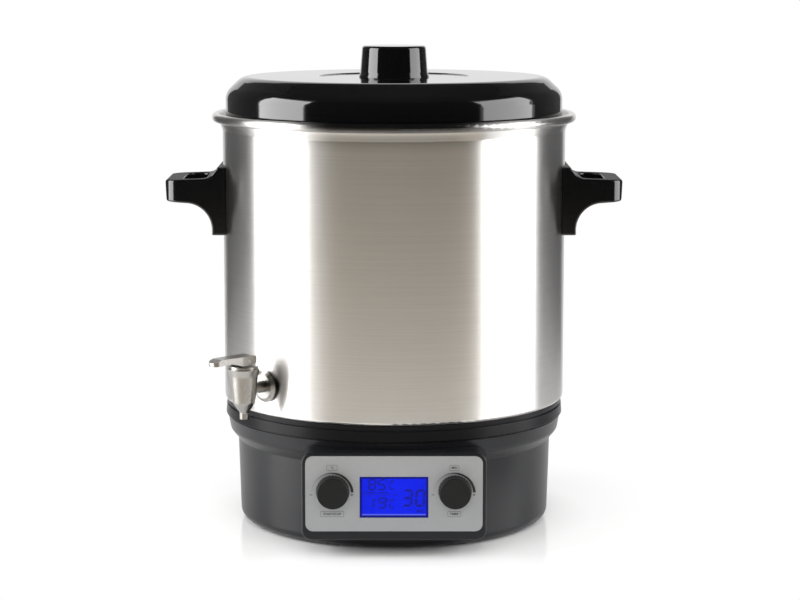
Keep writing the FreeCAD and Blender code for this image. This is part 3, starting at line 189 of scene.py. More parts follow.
class Finish:
    """A material or world whose nodes are placed one at a time with add()."""

    def __init__(self, owner):
        owner.use_nodes = True
        self.owner = owner
        self.tree = owner.node_tree
        self.tree.nodes.clear()

    def add(self, kind, settings=None, inputs=None, out=0):
        """Places any node: its settings, its inputs as values or wires, and the output wanted."""
        node = self.tree.nodes.new(kind)
        for key, value in (settings or {}).items():
            if key == "stops":
                ramp = node.color_ramp
                while len(ramp.elements) < len(value):
                    ramp.elements.new(0.5)
                for element, (position, colour) in zip(ramp.elements, value):
                    element.position = position
                    element.color = colour
            else:
                setattr(node, key, value)
        for key, value in (inputs or {}).items():
            if isinstance(value, Wire):
                self.tree.links.new(value.socket, node.inputs[key])
            else:
                node.inputs[key].default_value = value
        return Wire(self, node.outputs[out]) if len(node.outputs) else None

    def calc(self, operation, *values):
        return self.add("ShaderNodeMath", {"operation": operation}, dict(enumerate(values)))

    def spot(self):
        """Where a point lies on the object, in metres."""
        return self.add("ShaderNodeTexCoord", out="Object")

    def split(self, where):
        return [self.add("ShaderNodeSeparateXYZ", None, {0: where}, out=axis) for axis in "XYZ"]

    def from_front(self, x, y):
        """The angle of a point round the pot's axis from the front to the right, in radians."""
        return self.calc("ARCTAN2", x, 0.0 - y)

    def vector(self, x, y, z):
        return self.add("ShaderNodeCombineXYZ", None, {0: x, 1: y, 2: z})

    def noise(self, where, scale, detail, roughness):
        return self.add("ShaderNodeTexNoise", None, {
            "Vector": where, "Scale": scale, "Detail": detail, "Roughness": roughness})

    def spread(self, value, low, high):
        """Brings a 0 to 1 value into a range."""
        return value * (high - low) + low

    def fade(self, value, start, end, low=0.0, high=1.0, curve="SMOOTHSTEP"):
        """Goes from low to high as a value goes from start to end."""
        return self.add("ShaderNodeMapRange", {"interpolation_type": curve},
                        {0: value, 1: start, 2: end, 3: low, 4: high})

    def ramp(self, value, *stops):
        return self.add("ShaderNodeValToRGB", {"stops": stops}, {0: value})

    def grey_ramp(self, value, stops):
        return self.ramp(value, *[(position, grey(tone)) for position, tone in stops])

    def blend(self, mask, first, second, how="MIX"):
        """Mixes two colours; a Mix node has its colours at inputs 6 and 7 and output 2."""
        return self.add("ShaderNodeMix", {"data_type": "RGBA", "blend_type": how},
                        {0: mask, 6: first, 7: second}, out=2)

    def bump(self, height, strength, distance):
        return self.add("ShaderNodeBump", None, {
            "Strength": strength, "Distance": distance, "Height": height})

    def surface(self, **inputs):
        names = {name.replace("_", " "): value for name, value in inputs.items()}
        shader = self.add("ShaderNodeBsdfPrincipled", None, names)
        self.add("ShaderNodeOutputMaterial", None, {"Surface": shader})
        return self.owner


def grey(tone):
    return (tone, tone, tone, 1.0)


def shade(colour, factor):
    """A colour made lighter or darker, with its alpha."""
    return tuple(min(1.0, channel * factor) for channel in colour[:3]) + (1.0,)


def new_finish(name):
    return Finish(bpy.data.materials.new(name))


def brushed_steel(name, colour, rough, grain, top):
    """Steel brushed in fine level lines round its axis, with a painted dark reflection on the
    rolled edge in front.
    """
    f = new_finish(name)
    x, y, z = f.split(f.spot())
    angle = f.calc("ARCTAN2", y, x)
    lines = f.noise(f.vector(angle * 1.6, z * grain, 0.0), 1.0, 4.0, 0.7)
    long_lines = f.noise(f.vector(angle * 0.5, z * grain * 0.23, 4.0), 1.0, 2.0, 0.5)
    clouds = f.noise(f.vector(angle * 2.0, z * 9.0, 7.0), 1.0, 2.0, 0.5)
    mark = lines * 0.6 + long_lines * 0.4
    steel = f.blend(mark, shade(colour, 0.8), shade(colour, 1.15))
    # Painted dark reflection on the rolled edge: darker bands below the top, strongest in front.
    mouth_reflection = f.grey_ramp((z - top + MOUTH_REFLECTION_BAND) / MOUTH_REFLECTION_BAND, MOUTH_REFLECTION_TONES)
    start, end = (math.radians(turn) for turn in MOUTH_REFLECTION_TURN)
    front = f.fade(f.calc("ABSOLUTE", f.from_front(x, y)), start, end, 1.0, MOUTH_REFLECTION_REST)
    return f.surface(
        Base_Color=f.blend(front, steel, mouth_reflection, "MULTIPLY"),
        Metallic=1.0,
        Roughness=f.spread(mark, rough * 0.82, rough * 1.1) + clouds * 0.05,
        Anisotropic=0.9,
        Anisotropic_Rotation=0.25,
        Normal=f.bump(mark, 0.22, 0.00004),
    )


def satin_metal(name, colour, rough, scale=900.0):
    """Plated or tumbled metal with a faint mottle."""
    f = new_finish(name)
    spot = f.spot()
    fine = f.noise(spot, scale, 4.0, 0.6)
    broad = f.noise(spot, scale * 0.06, 2.0, 0.5)
    return f.surface(
        Base_Color=f.blend(broad, shade(colour, 0.88), shade(colour, 1.08)),
        Metallic=1.0,
        Roughness=f.spread(fine, rough * 0.8, rough * 1.2) + broad * 0.06,
        Normal=f.bump(fine, 0.06, 0.00003),
    )


def polished_plastic(name, colour, rough, worn=None):
    """Deep gloss with the faint waves and haze of a moulding; upward faces may be worn matt."""
    f = new_finish(name)
    spot = f.spot()
    wave = f.noise(spot, 26.0, 2.0, 0.4)
    haze = f.noise(spot, 420.0, 5.0, 0.65)
    roughness = f.spread(haze, rough * 0.7, rough * 1.35)
    if worn:
        _, _, up = f.split(f.add("ShaderNodeTexCoord", out="Normal"))
        roughness = roughness + f.fade(up, WORN_FROM, WORN_FULL, 0.0, worn, "LINEAR")
    return f.surface(
        Base_Color=f.blend(haze, shade(colour, 0.85), shade(colour, 1.25)),
        Roughness=roughness,
        IOR=1.5,
        Coat_Weight=0.05,
        Coat_Roughness=0.04,
        Normal=f.bump(wave, 0.05, 0.0005),
    )


def grained_plastic(name, colour, rough, grain=2600.0, depth=0.00003, shine=0.35):
    """Satin moulded plastic with a fine spark-eroded grain."""
    f = new_finish(name)
    spot = f.spot()
    fine = f.noise(spot, grain, 2.0, 0.5)
    broad = f.noise(spot, 14.0, 3.0, 0.5)
    return f.surface(
        Base_Color=f.blend(broad, shade(colour, 0.85), shade(colour, 1.18)),
        Roughness=f.spread(fine, rough * 0.85, rough * 1.12) + broad * 0.05,
        IOR=1.48,
        Specular_IOR_Level=shine,
        Normal=f.bump(fine, 0.18, depth),
    )


def painted_silver(name, colour, rough):
    """Silver lacquer: metal flakes under a satin top coat."""
    f = new_finish(name)
    spot = f.spot()
    flakes = f.add("ShaderNodeTexVoronoi", None, {"Vector": spot, "Scale": 3800.0}, out="Color")
    glint = f.add("ShaderNodeSeparateXYZ", None, {0: flakes})
    haze = f.noise(spot, 60.0, 3.0, 0.5)
    return f.surface(
        Base_Color=f.blend(glint * 0.6 + haze * 0.4, shade(colour, 0.9), shade(colour, 1.1)),
        Metallic=0.35,
        Roughness=f.spread(haze, rough * 0.9, rough * 1.1),
        Coat_Weight=0.2,
        Coat_Roughness=0.35,
    )


def lit_display(name, colour, edge, low, high):
    """Blue backlit glass, brighter in the middle and along its lamp, with a dark rim."""
    f = new_finish(name)
    x, _, z = f.split(f.spot())
    across = (x - low.x) / (high.x - low.x)
    up = (z - low.z) / (high.z - low.z)
    middle = across * (1.0 - across) * 4.0
    grid = f.noise(f.vector(x, z, 0.0), 1800.0, 1.0, 0.4)
    glow = f.blend(middle * 0.75 + grid * 0.25, edge, colour)
    lit = f.blend(f.grey_ramp(up, LAMP_LINE) * 0.35, glow, (0.45, 0.55, 1.0, 1.0))
    from_side = f.calc("MINIMUM", x - low.x, high.x - x)
    from_end = f.calc("MINIMUM", z - low.z, high.z - z)
    inside = f.fade(f.calc("MINIMUM", from_side, from_end), RIM_FROM, RIM_TO, curve="LINEAR")
    return f.surface(
        Base_Color=f.blend(grid, shade(edge, 0.2), shade(edge, 0.3)),
        Roughness=f.spread(grid, 0.2, 0.3),
        Emission_Color=f.blend(inside, (0.0, 0.001, 0.06, 1.0), lit),
        Emission_Strength=1.0,
        Specular_IOR_Level=0.12,
    )


def lit_ink(name, colour):
    """Figures of a backlit display, a deeper blue than their ground."""
    f = new_finish(name)
    fine = f.noise(f.spot(), 1600.0, 2.0, 0.5)
    return f.surface(
        Base_Color=(0.0, 0.0, 0.02, 1.0),
        Roughness=0.3,
        Emission_Color=f.blend(fine, shade(colour, 0.85), shade(colour, 1.15)),
        Emission_Strength=1.0,
        Specular_IOR_Level=0.2,
    )


def printed_ink(name, colour, pale=None, low=None, high=None):
    """Screen-printed ink; with two ends it fades from pale to full colour along x."""
    f = new_finish(name)
    spot = f.spot()
    fine = f.noise(spot, 1500.0, 3.0, 0.5)
    tone = f.blend(fine, shade(colour, 0.85), shade(colour, 1.15))
    if pale:
        x, _, _ = f.split(spot)
        tone = f.blend((x - low) / (high - low), pale, tone)
    return f.surface(Base_Color=tone, Roughness=f.spread(fine, 0.42, 0.55))


def dress(material, *names):
    """Gives CAD nodes a finish through their material slots."""
    for name in names:
        for slot in NODES[name].material_slots:
            slot.material = material


def add_object(name, data):
    piece = bpy.data.objects.new(name, data)
    bpy.context.scene.collection.objects.link(piece)
    return piece


def finish_piece(piece, material, body="cooker"):
    """A new piece takes its finish and rides on its body."""
    piece.data.materials.append(material)
    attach(piece, body)
    return piece


def raised_print(name, shapes, front, thick):
    """Flat shapes in the panel's plane, each a loop of (x, z), raised by a thin film of ink."""
    bm = bmesh.new()
    for shape in shapes:
        face = bm.faces.new([bm.verts.new((x, front + thick, z)) for x, z in shape])
        face.normal_update()
        if face.normal.y > 0:
            face.normal_flip()
    top = bmesh.ops.extrude_face_region(bm, geom=bm.faces[:])
    raised = [part for part in top["geom"] if isinstance(part, bmesh.types.BMVert)]
    bmesh.ops.translate(bm, vec=(0, -thick, 0), verts=raised)
    bmesh.ops.recalc_face_normals(bm, faces=bm.faces[:])
    mesh = bpy.data.meshes.new(name)
    bm.to_mesh(mesh)
    bm.free()
    return add_object(name, mesh)


def printed_words(name, words, x, z, height, front):
    """Words set in the panel's plane, centred on x and z."""
    curve = bpy.data.curves.new(name + "_line", "FONT")
    curve.body = words
    curve.size = height
    curve.align_x = "CENTER"
    curve.align_y = "CENTER"
    curve.extrude = LETTER_DEPTH
    curve.offset = LETTER_BOLD
    line = add_object(name + "_line", curve)
    bpy.context.view_layer.update()
    mesh = bpy.data.meshes.new_from_object(line)
    bpy.data.objects.remove(line)
    upright = Matrix.Rotation(math.pi / 2, 4, "X")
    mesh.transform(Matrix.Translation((x, front, z)) @ upright)
    mesh.materials.clear()
    return add_object(name, mesh)


def coil(name, low, high, wire, turns, steps=24, sides=8):
    """A coil spring round the upright axis of the box from low to high, as a closed tube."""
    middle = (low + high) / 2
    radius = (high.x - low.x) / 2 - wire
    count = turns * steps
    vertices, faces = [], []
    for i in range(count + 1):
        turn = 2.0 * math.pi * i / steps
        level = low.z + wire + (high.z - low.z - 2.0 * wire) * i / count
        for j in range(sides):
            around = 2.0 * math.pi * j / sides
            reach = radius + wire * math.cos(around)
            vertices.append((middle.x + reach * math.cos(turn), middle.y + reach * math.sin(turn),
                             level + wire * math.sin(around)))
    for i in range(0, count * sides, sides):
        for j in range(sides):
            k = (j + 1) % sides
            faces.append((i + j, i + sides + j, i + sides + k, i + k))
    faces.append(tuple(range(sides)))
    faces.append(tuple(reversed(range(count * sides, count * sides + sides))))
    mesh = bpy.data.meshes.new(name)
    mesh.from_pydata(vertices, [], faces)
    mesh.shade_smooth()
    return add_object(name, mesh)


def rectangle(left, right, low, high):
    return [(left, low), (right, low), (right, high), (left, high)]


def between(inside, outside, closed=True):
    """The quads between two lines of points, which may each close into a loop."""
    count = len(inside)
    return [[inside[i], inside[(i + 1) % count], outside[(i + 1) % count], outside[i]]
            for i in range(count if closed else count - 1)]


def label_frame(x, z, width, steps=8):
    """A thin printed frame with round corners, centred on x and z."""
    def loop(radius):
        points = []
        for side, end, start in ((1, 1, 0), (-1, 1, 90), (-1, -1, 180), (1, -1, 270)):
            for i in range(steps + 1):
                turn = math.radians(start + 90.0 * i / steps)
                points.append((
                    x + side * (width / 2 - LABEL_INNER) + radius * math.cos(turn),
                    z + end * (LABEL_HEIGHT / 2 - LABEL_INNER) + radius * math.sin(turn),
                ))
        return points

    return between(loop(LABEL_INNER), loop(LABEL_OUTER))


def dial_arc(dial, look):
    """An arc over a dial that swells from its low end to its high end."""
    inside, outside = [], []
    for i in range(ARC_STEPS + 1):
        part = i / ARC_STEPS
        turn = math.radians(ARC_START - ARC_SWEEP * part)
        width = look.arc_thin + (look.arc_thick - look.arc_thin) * part ** ARC_SWELL
        for line, edge in ((inside, -0.5), (outside, 0.5)):
            radius = look.arc_radius + edge * width
            line.append((dial.x + ARC_SHIFT[0] + radius * math.cos(turn),
                         dial.z + ARC_SHIFT[1] + radius * math.sin(turn)))
    return between(inside, outside, closed=False)


def dial_signs(dial):
    """A minus to the left of a dial and a plus to its right."""
    half, bar = SIGN_HALF, SIGN_BAR
    level, minus, plus = dial.z + SIGN_LEVEL, dial.x + MINUS_AT, dial.x + PLUS_AT
    cross = [
        (-half, -bar), (-bar, -bar), (-bar, -half), (bar, -half), (bar, -bar), (half, -bar),
        (half, bar), (bar, bar), (bar, half), (-bar, half), (-bar, bar), (-half, bar),
    ]
    return [rectangle(minus - half, minus + half, level - bar, level + bar),
            [(plus + x, level + z) for x, z in cross]]


def digit(letter, x, z, width, height, bar):
    """One seven-bar figure with its lower left corner at x, z."""
    gap = bar * FIGURE_GAP
    half = bar / 2
    middle = z + height / 2
    top = z + height

    def level(y):
        right = x + width
        return [(x + gap, y), (x + half + gap, y + half), (right - half - gap, y + half),
                (right - gap, y), (right - half - gap, y - half), (x + half + gap, y - half)]

    def upright(at, low, high):
        return [(at, low + gap), (at + half, low + half + gap), (at + half, high - half - gap),
                (at, high - gap), (at - half, high - half - gap), (at - half, low + half + gap)]

    bars = {
        "a": level(top), "d": level(z), "g": level(middle),
        "f": upright(x, middle, top), "b": upright(x + width, middle, top),
        "e": upright(x, z, middle), "c": upright(x + width, z, middle),
    }
    return [[(px + (pz - z) * FIGURE_LEAN, pz) for px, pz in bars[name]]
            for name in SEGMENTS[letter]]


def display_figures(look, middle):
    """All figures, degree signs and lines of the display."""
    shapes = []
    for text, row in ((look.upper, UPPER_FIGURES), ("C", UPPER_UNIT), (look.lower, LOWER_FIGURES),
                      ("C", LOWER_UNIT), (look.minutes, MINUTE_FIGURES)):
        left, low, pitch, width, height, bar = row
        for i, letter in enumerate(text):
            shapes += digit(letter, middle.x + left + pitch * i, middle.z + low, width, height, bar)
    turns = [2.0 * math.pi * i / DEGREE_STEPS for i in range(DEGREE_STEPS)]
    for x, z in DEGREE_SIGNS:
        shapes += between(*[
            [(middle.x + x + radius * math.cos(turn), middle.z + z + radius * math.sin(turn))
             for turn in turns] for radius in (DEGREE_INNER, DEGREE_OUTER)])
    for left, right, level, thick in LINES:
        shapes.append(rectangle(middle.x + left, middle.x + right,
                                middle.z + level - thick / 2, middle.z + level + thick / 2))
    return shapes


def stage_mesh(name, vertices, faces, material):
    mesh = bpy.data.meshes.new(name)
    mesh.from_pydata(vertices, [], faces)
    mesh.materials.append(material)
    piece = add_object(name, mesh)
    return piece


def sweep(name, near, far, start, end, steps, material):
    """A studio card swept about the pot's axis between two (radius, height) ends.

    Its start and end are degrees from the front, to the right. Only reflections show it.
    """
    vertices, faces = [], []
    for i in range(steps + 1):
        turn = math.radians(start + (end - start) * i / steps)
        for radius, height in (near, far):
            vertices.append((radius * math.sin(turn), -radius * math.cos(turn), height))
    for i in range(steps):
        faces.append((2 * i, 2 * i + 1, 2 * i + 3, 2 * i + 2))
    piece = stage_mesh(name, vertices, faces, material)
    piece.visible_camera = False
    piece.visible_diffuse = False
    piece.visible_shadow = False


def card_paint(name, *stops, side=None):
    """Matt card whose tone runs outwards from the pot's axis by (radius, tone) stops.

    A side of (start, end, tone) in degrees from the front blends towards its tone at start.
    """
    f = new_finish(name)
    x, y, _ = f.split(f.spot())
    reach = (x * x + y * y) ** 0.5
    tone = f.ramp(reach / PAINT_REACH,
                  *[(radius / PAINT_REACH, colour + (1.0,)) for radius, colour in stops])
    if side:
        start, end, colour = side
        turn = f.from_front(x, y)
        share = f.fade(turn, math.radians(start), math.radians(end), 1.0, 0.0)
        tone = f.blend(share * f.fade(reach, SIDE_FAR, SIDE_FULL), tone, colour + (1.0,))
    return f.surface(Base_Color=tone, Roughness=1.0, Specular_IOR_Level=0.0)


def put_cards(steps):
    """The cards that the steel, the lid and the base mirror."""
    dark = card_paint("dark_paint", (0.0, (0.03, 0.029, 0.028)),
                      (PAINT_REACH, (0.025, 0.025, 0.025)))
    slate = card_paint("slate_paint", (0.0, (0.085, 0.085, 0.088)),
                       (PAINT_REACH, (0.08, 0.08, 0.083)))
    mat = card_paint("mat_paint", (0.5, (0.54, 0.49, 0.41)), (1.4, (0.5, 0.45, 0.373)),
                     (2.3, (0.36, 0.322, 0.265)), (2.85, (0.05, 0.046, 0.04)),
                     side=(-62.0, -34.0, (0.95, 0.93, 0.9)))
    shade_mat = card_paint("shade_paint", (0.95, (0.3, 0.3, 0.31)), (1.15, (0.12, 0.12, 0.123)))
    sweep("front_mat", (MAT_NEAR, CARD_LEVEL), (ROOM_RADIUS, CARD_LEVEL),
          FRONT_FROM, FRONT_TO, steps, mat)
    sweep("front_card", (ROOM_RADIUS, 0.0), (ROOM_RADIUS, ROOM_HEIGHT),
          FRONT_FROM, FRONT_TO, steps, dark)
    sweep("ceiling_card", (0.0, ROOM_HEIGHT), (ROOM_RADIUS, ROOM_HEIGHT),
          -180.0, 180.0, steps, slate)
    sweep("right_mat", (RIGHT_NEAR, CARD_LEVEL), (RIGHT_FAR, CARD_LEVEL),
          FRONT_TO, RIGHT_TO, steps, slate)
    for name, start, end in FLAGS:
        sweep(name + "_flag", (FLAG_RADIUS, 0.0), (FLAG_RADIUS, FLAG_HEIGHT),
              start, end, steps, slate)
        sweep(name + "_shade", (SHADE_NEAR, CARD_LEVEL), (FLAG_RADIUS, CARD_LEVEL),
              start, end, steps, shade_mat)


def lamp(name, place, aim, width, height, power, colour, mirrored=True):
    """A soft rectangular lamp; one that isn't mirrored lights without showing in reflections."""
    data = bpy.data.lights.new(name, "AREA")
    data.shape = "RECTANGLE"
    data.size = width
    data.size_y = height
    data.energy = power
    data.color = colour
    piece = add_object(name, data)
    piece.location = place
    piece.rotation_euler = (Vector(aim) - Vector(place)).to_track_quat("-Z", "Y").to_euler()
    piece.visible_glossy = mirrored


def put_lamps(look):
    lamp("left_lamp", (-1.34, -0.31, 0.62), (0, -0.31, 0.45), 0.98, 1.2,
         look.side * 1.2, WHITE_LIGHT)
    lamp("right_lamp", (1.34, -0.28, 0.62), (0, -0.28, 0.45), 1.1, 1.2,
         look.side * 0.85, WHITE_LIGHT)
    lamp("top_lamp", (0, -0.2, 2.2), (0, 0, 0.3), 1.6, 1.2,
         look.top, WARM_LIGHT, mirrored=False)
    lamp("fill_lamp", (0, -2.2, 1.3), (0, 0, 0.25), 1.6, 1.2,
         look.front, WARM_LIGHT, mirrored=False)


def studio_room(fill):
    """Even light all round that looks white to the camera, in reflections and through glass."""
    f = Finish(bpy.data.worlds.new("studio_room"))
    seen = f.add("ShaderNodeLightPath", out="Is Camera Ray")
    glossy = f.add("ShaderNodeLightPath", out="Is Glossy Ray")
    through = f.add("ShaderNodeLightPath", out="Is Transmission Ray")
    white = f.calc("MAXIMUM", f.calc("MAXIMUM", seen, glossy), through)
    even = f.blend(white, grey(fill), grey(1.0))
    sky = f.add("ShaderNodeBackground", None, {"Color": even, "Strength": 1.0})
    f.add("ShaderNodeOutputWorld", None, {"Surface": sky})
    return f.owner


def put_floor():
    """A pale glossy floor that keeps the object's shadow and turns plain white further out."""
    f = new_finish("white_floor")
    x, y, z = f.split(f.spot())
    mottle = f.noise(f.vector(x, y, z), 3.0, 2.0, 0.5)
    gloss = f.add("ShaderNodeBsdfPrincipled", None, {
        "Base Color": f.blend(mottle, grey(0.87), grey(0.9)), "Roughness": 0.14, "IOR": 1.35})
    lit = f.add("ShaderNodeEmission", None, {"Color": grey(1.0), "Strength": 1.0})
    direct = f.add("ShaderNodeLightPath", out="Is Camera Ray")
    reach = (x * x + y * y) ** 0.5
    close = f.fade(reach, *FLOOR_CLOSE)
    open_floor = f.fade(reach, *FLOOR_OPEN)
    mixed = f.add("ShaderNodeMixShader", None, {0: direct * (close + open_floor), 1: gloss, 2: lit})
    f.add("ShaderNodeOutputMaterial", None, {"Surface": mixed})
    half = FLOOR_HALF
    stage_mesh("floor", [(-half, -half, 0), (half, -half, 0), (half, half, 0), (-half, half, 0)],
               [(0, 1, 2, 3)], f.owner)


def photo_camera(look):
    data = bpy.data.cameras.new("photo_camera")
    data.lens = look.lens
    data.sensor_width = 36.0
    data.shift_x = look.shift
    data.clip_end = 50.0
    camera = add_object("photo_camera", data)
    camera.location = (0.0, -look.distance, look.height)
    camera.rotation_euler = (look.tilt, 0.0, 0.0)
    return camera


class SteelSettings(bpy.types.PropertyGroup):
    colour: FloatVectorProperty(
        name="Steel colour", description="Colour of the pot's steel", subtype="COLOR",
        default=(0.72, 0.705, 0.685))
    roughness: FloatProperty(
        name="Roughness", description="Mean roughness of the brushed steel", default=0.3,
        min=0.05, max=1.0)
    grain: FloatProperty(
        name="Grain", description="Brush lines per metre of height", default=2300.0, min=100.0)
    tap_colour: FloatVectorProperty(
        name="Tap colour", description="Colour of the tap's satin nickel", subtype="COLOR",
        default=(0.34, 0.328, 0.31))
    spring_wire: FloatProperty(
        name="Spring wire", description="Radius of the tap spring's wire", default=0.00035,
        unit="LENGTH")
    spring_turns: IntProperty(
        name="Spring turns", description="Turns of the tap's spring", default=5, min=1)
    stem_lift: FloatProperty(
        name="Stem lift", description="How far the open tap's stem shortens its spring",
        default=0.0054, unit="LENGTH")


class BlackSettings(bpy.types.PropertyGroup):
    gloss_colour: FloatVectorProperty(
        name="Gloss black", description="Colour of lid, knob and handles", subtype="COLOR",
        default=(0.0022, 0.0022, 0.0024))
    satin_colour: FloatVectorProperty(
        name="Satin black", description="Colour of the base and its ring", subtype="COLOR",
        default=(0.0068, 0.007, 0.0084))
    dial_colour: FloatVectorProperty(
        name="Dial black", description="Colour of the dials", subtype="COLOR",
        default=(0.007, 0.007, 0.007))


class PanelSettings(bpy.types.PropertyGroup):
    silver: FloatVectorProperty(
        name="Panel silver", description="Colour of the panel's lacquer", subtype="COLOR",
        default=(0.29, 0.297, 0.3))
    arc_radius: FloatProperty(
        name="Arc radius", description="Mean radius of the printed arc round a dial",
        default=0.0196, unit="LENGTH")
    arc_thin: FloatProperty(
        name="Arc start", description="Width of the arc at its low end", default=0.0005,
        unit="LENGTH")
    arc_thick: FloatProperty(
        name="Arc end", description="Width of the arc at its high end", default=0.0028,
        unit="LENGTH")
    film: FloatProperty(
        name="Ink film", description="How far the ink stands out of the plate", default=0.00006,
        unit="LENGTH")
    glow: FloatVectorProperty(
        name="Display blue", description="Colour of the lit display", subtype="COLOR",
        default=(0.001, 0.011, 0.68))
    figure: FloatVectorProperty(
        name="Figure blue", description="Colour of the figures", subtype="COLOR",
        default=(0.0, 0.002, 0.24))
    upper: StringProperty(
        name="Set heat", description="Figures at the upper left", default="85")
    lower: StringProperty(
        name="Heat now", description="Figures at the lower left", default="19")
    minutes: StringProperty(
        name="Minutes", description="Figures at the right", default="30")


class StageSettings(bpy.types.PropertyGroup):
    distance: FloatProperty(
        name="Camera distance", description="From the pot's axis", default=2.347, unit="LENGTH")
    height: FloatProperty(
        name="Camera height", description="Above the floor", default=0.573, unit="LENGTH")
    tilt: FloatProperty(
        name="Camera tilt", description="Angle from straight down",
        default=math.radians(81.58), subtype="ANGLE")
    lens: FloatProperty(
        name="Lens", description="Focal length in millimetres", default=103.12)
    shift: FloatProperty(
        name="Shift", description="Sideways shift of the frame", default=0.0075)
    fill: FloatProperty(
        name="Room light", description="Strength of the even light", default=0.55, min=0.0)
    side: FloatProperty(
        name="Side light", description="Power of each side lamp", default=24.0, min=0.0)
    front: FloatProperty(
        name="Front light", description="Power of the lamp beside the camera", default=22.0,
        min=0.0)
    top: FloatProperty(
        name="Top light", description="Power of the lamp overhead", default=10.0, min=0.0)
    room: IntProperty(
        name="Card steps", description="Faces across a curved card", default=48, min=8)


class COOKER_OT_steel(bpy.types.Operator):
    """Gives the pot its brushed steel and the hidden metal pieces theirs"""

    bl_idname = "cooker.steel"
    bl_label = "Steel pot"

    def execute(self, context):
        look = context.scene.cooker_steel
        dress(brushed_steel("brushed_pot_steel", look.colour, look.roughness, look.grain, POT_TOP),
              "pot")
        dress(satin_metal("zinc_plating", (0.6, 0.6, 0.59), rough=0.32),
              "pot_studs", "stud_nuts", "handle_screws", "ring_screws", "bottom_screws",
              "display_screws", "power_board_screws", "lid_knob_screw", "lid_knob_washer")
        dress(satin_metal("cast_heater", (0.5, 0.5, 0.5), rough=0.5, scale=500.0),
              "heater_plate", "heat_shield")
        dress(satin_metal("scaled_element", (0.22, 0.2, 0.18), rough=0.55), "heating_element")
        dress(satin_metal("turned_brass", (0.72, 0.52, 0.22), rough=0.3), "handle_inserts")
        return {"FINISHED"}


class COOKER_OT_lid(bpy.types.Operator):
    """Gives lid, knob and handles their polished black"""

    bl_idname = "cooker.lid"
    bl_label = "Lid and handles"

    def execute(self, context):
        look = context.scene.cooker_black
        dress(polished_plastic("polished_lid_black", look.gloss_colour, rough=0.07),
              "lid_shell", "lid_knob")
        dress(polished_plastic("polished_grip_black", look.gloss_colour, rough=0.11, worn=0.5),
              "left_handle", "right_handle")
        return {"FINISHED"}


class COOKER_OT_base(bpy.types.Operator):
    """Gives the base, its ring, cover and gland their satin black and the feet and seals rubber"""

    bl_idname = "cooker.base"
    bl_label = "Base"

    def execute(self, context):
        satin = context.scene.cooker_black.satin_colour
        dress(grained_plastic("satin_base_black", satin, rough=0.3, shine=0.3),
              "base_housing", "control_box")
        dress(grained_plastic("satin_ring_black", shade(satin, 0.7), rough=0.28, shine=0.12),
              "base_ring")
        dress(grained_plastic("moulded_cover_black", satin, rough=0.5),
              "bottom_cover", "cord_gland")
        dress(grained_plastic("foot_rubber", (0.02, 0.02, 0.02), rough=0.7, grain=1400.0,
                              depth=0.00006),
              "rubber_feet", "handle_screw_seals", "tap_outer_seal", "tap_inner_seal",
              "tap_seat_seal")
        return {"FINISHED"}


class COOKER_OT_tap(bpy.types.Operator):
    """Gives the tap its satin nickel and winds a coil that stands in for its spring"""

    bl_idname = "cooker.tap"
    bl_label = "Tap"

    def execute(self, context):
        look = context.scene.cooker_steel
        dress(satin_metal("satin_nickel", look.tap_colour, rough=0.27, scale=700.0),
              "tap_body", "tap_rosette", "tap_bonnet", "tap_lever", "tap_nut")
        bright = satin_metal("bright_pin", (0.66, 0.65, 0.63), rough=0.16)
        dress(bright, "tap_stem", "tap_lever_pin", "tap_spring")
        spring = coil("tap_coil", SPRING_LOW + SPRING_PLAY, SPRING_HIGH - SPRING_PLAY,
                      look.spring_wire, look.spring_turns)
        finish_piece(spring, bright)
        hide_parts("tap_spring")
        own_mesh(spring)
        return {"FINISHED"}


class COOKER_OT_inside(bpy.types.Operator):
    """Gives the boards and parts inside the base their finishes"""

    bl_idname = "cooker.inside"
    bl_label = "Inside of the base"

    def execute(self, context):
        dress(grained_plastic("board_green", (0.02, 0.12, 0.05), rough=0.4, grain=900.0),
              "display_board", "power_board")
        dress(grained_plastic("part_black", (0.02, 0.02, 0.02), rough=0.45),
              "buzzer", "capacitor", "temperature_sensor", "thermal_cutout", "lcd_module")
        dress(grained_plastic("relay_blue", (0.03, 0.09, 0.3), rough=0.4), "relay")
        dress(grained_plastic("terminal_grey", (0.3, 0.32, 0.31), rough=0.5), "terminal_block")
        dress(satin_metal("laminated_core", (0.16, 0.15, 0.14), rough=0.6, scale=300.0),
              "transformer")
        dress(satin_metal("stamped_can", (0.5, 0.5, 0.5), rough=0.35),
              "left_encoder_body", "right_encoder_body", "left_encoder_rotor",
              "right_encoder_rotor", "left_dial_shaft", "right_dial_shaft")
        return {"FINISHED"}


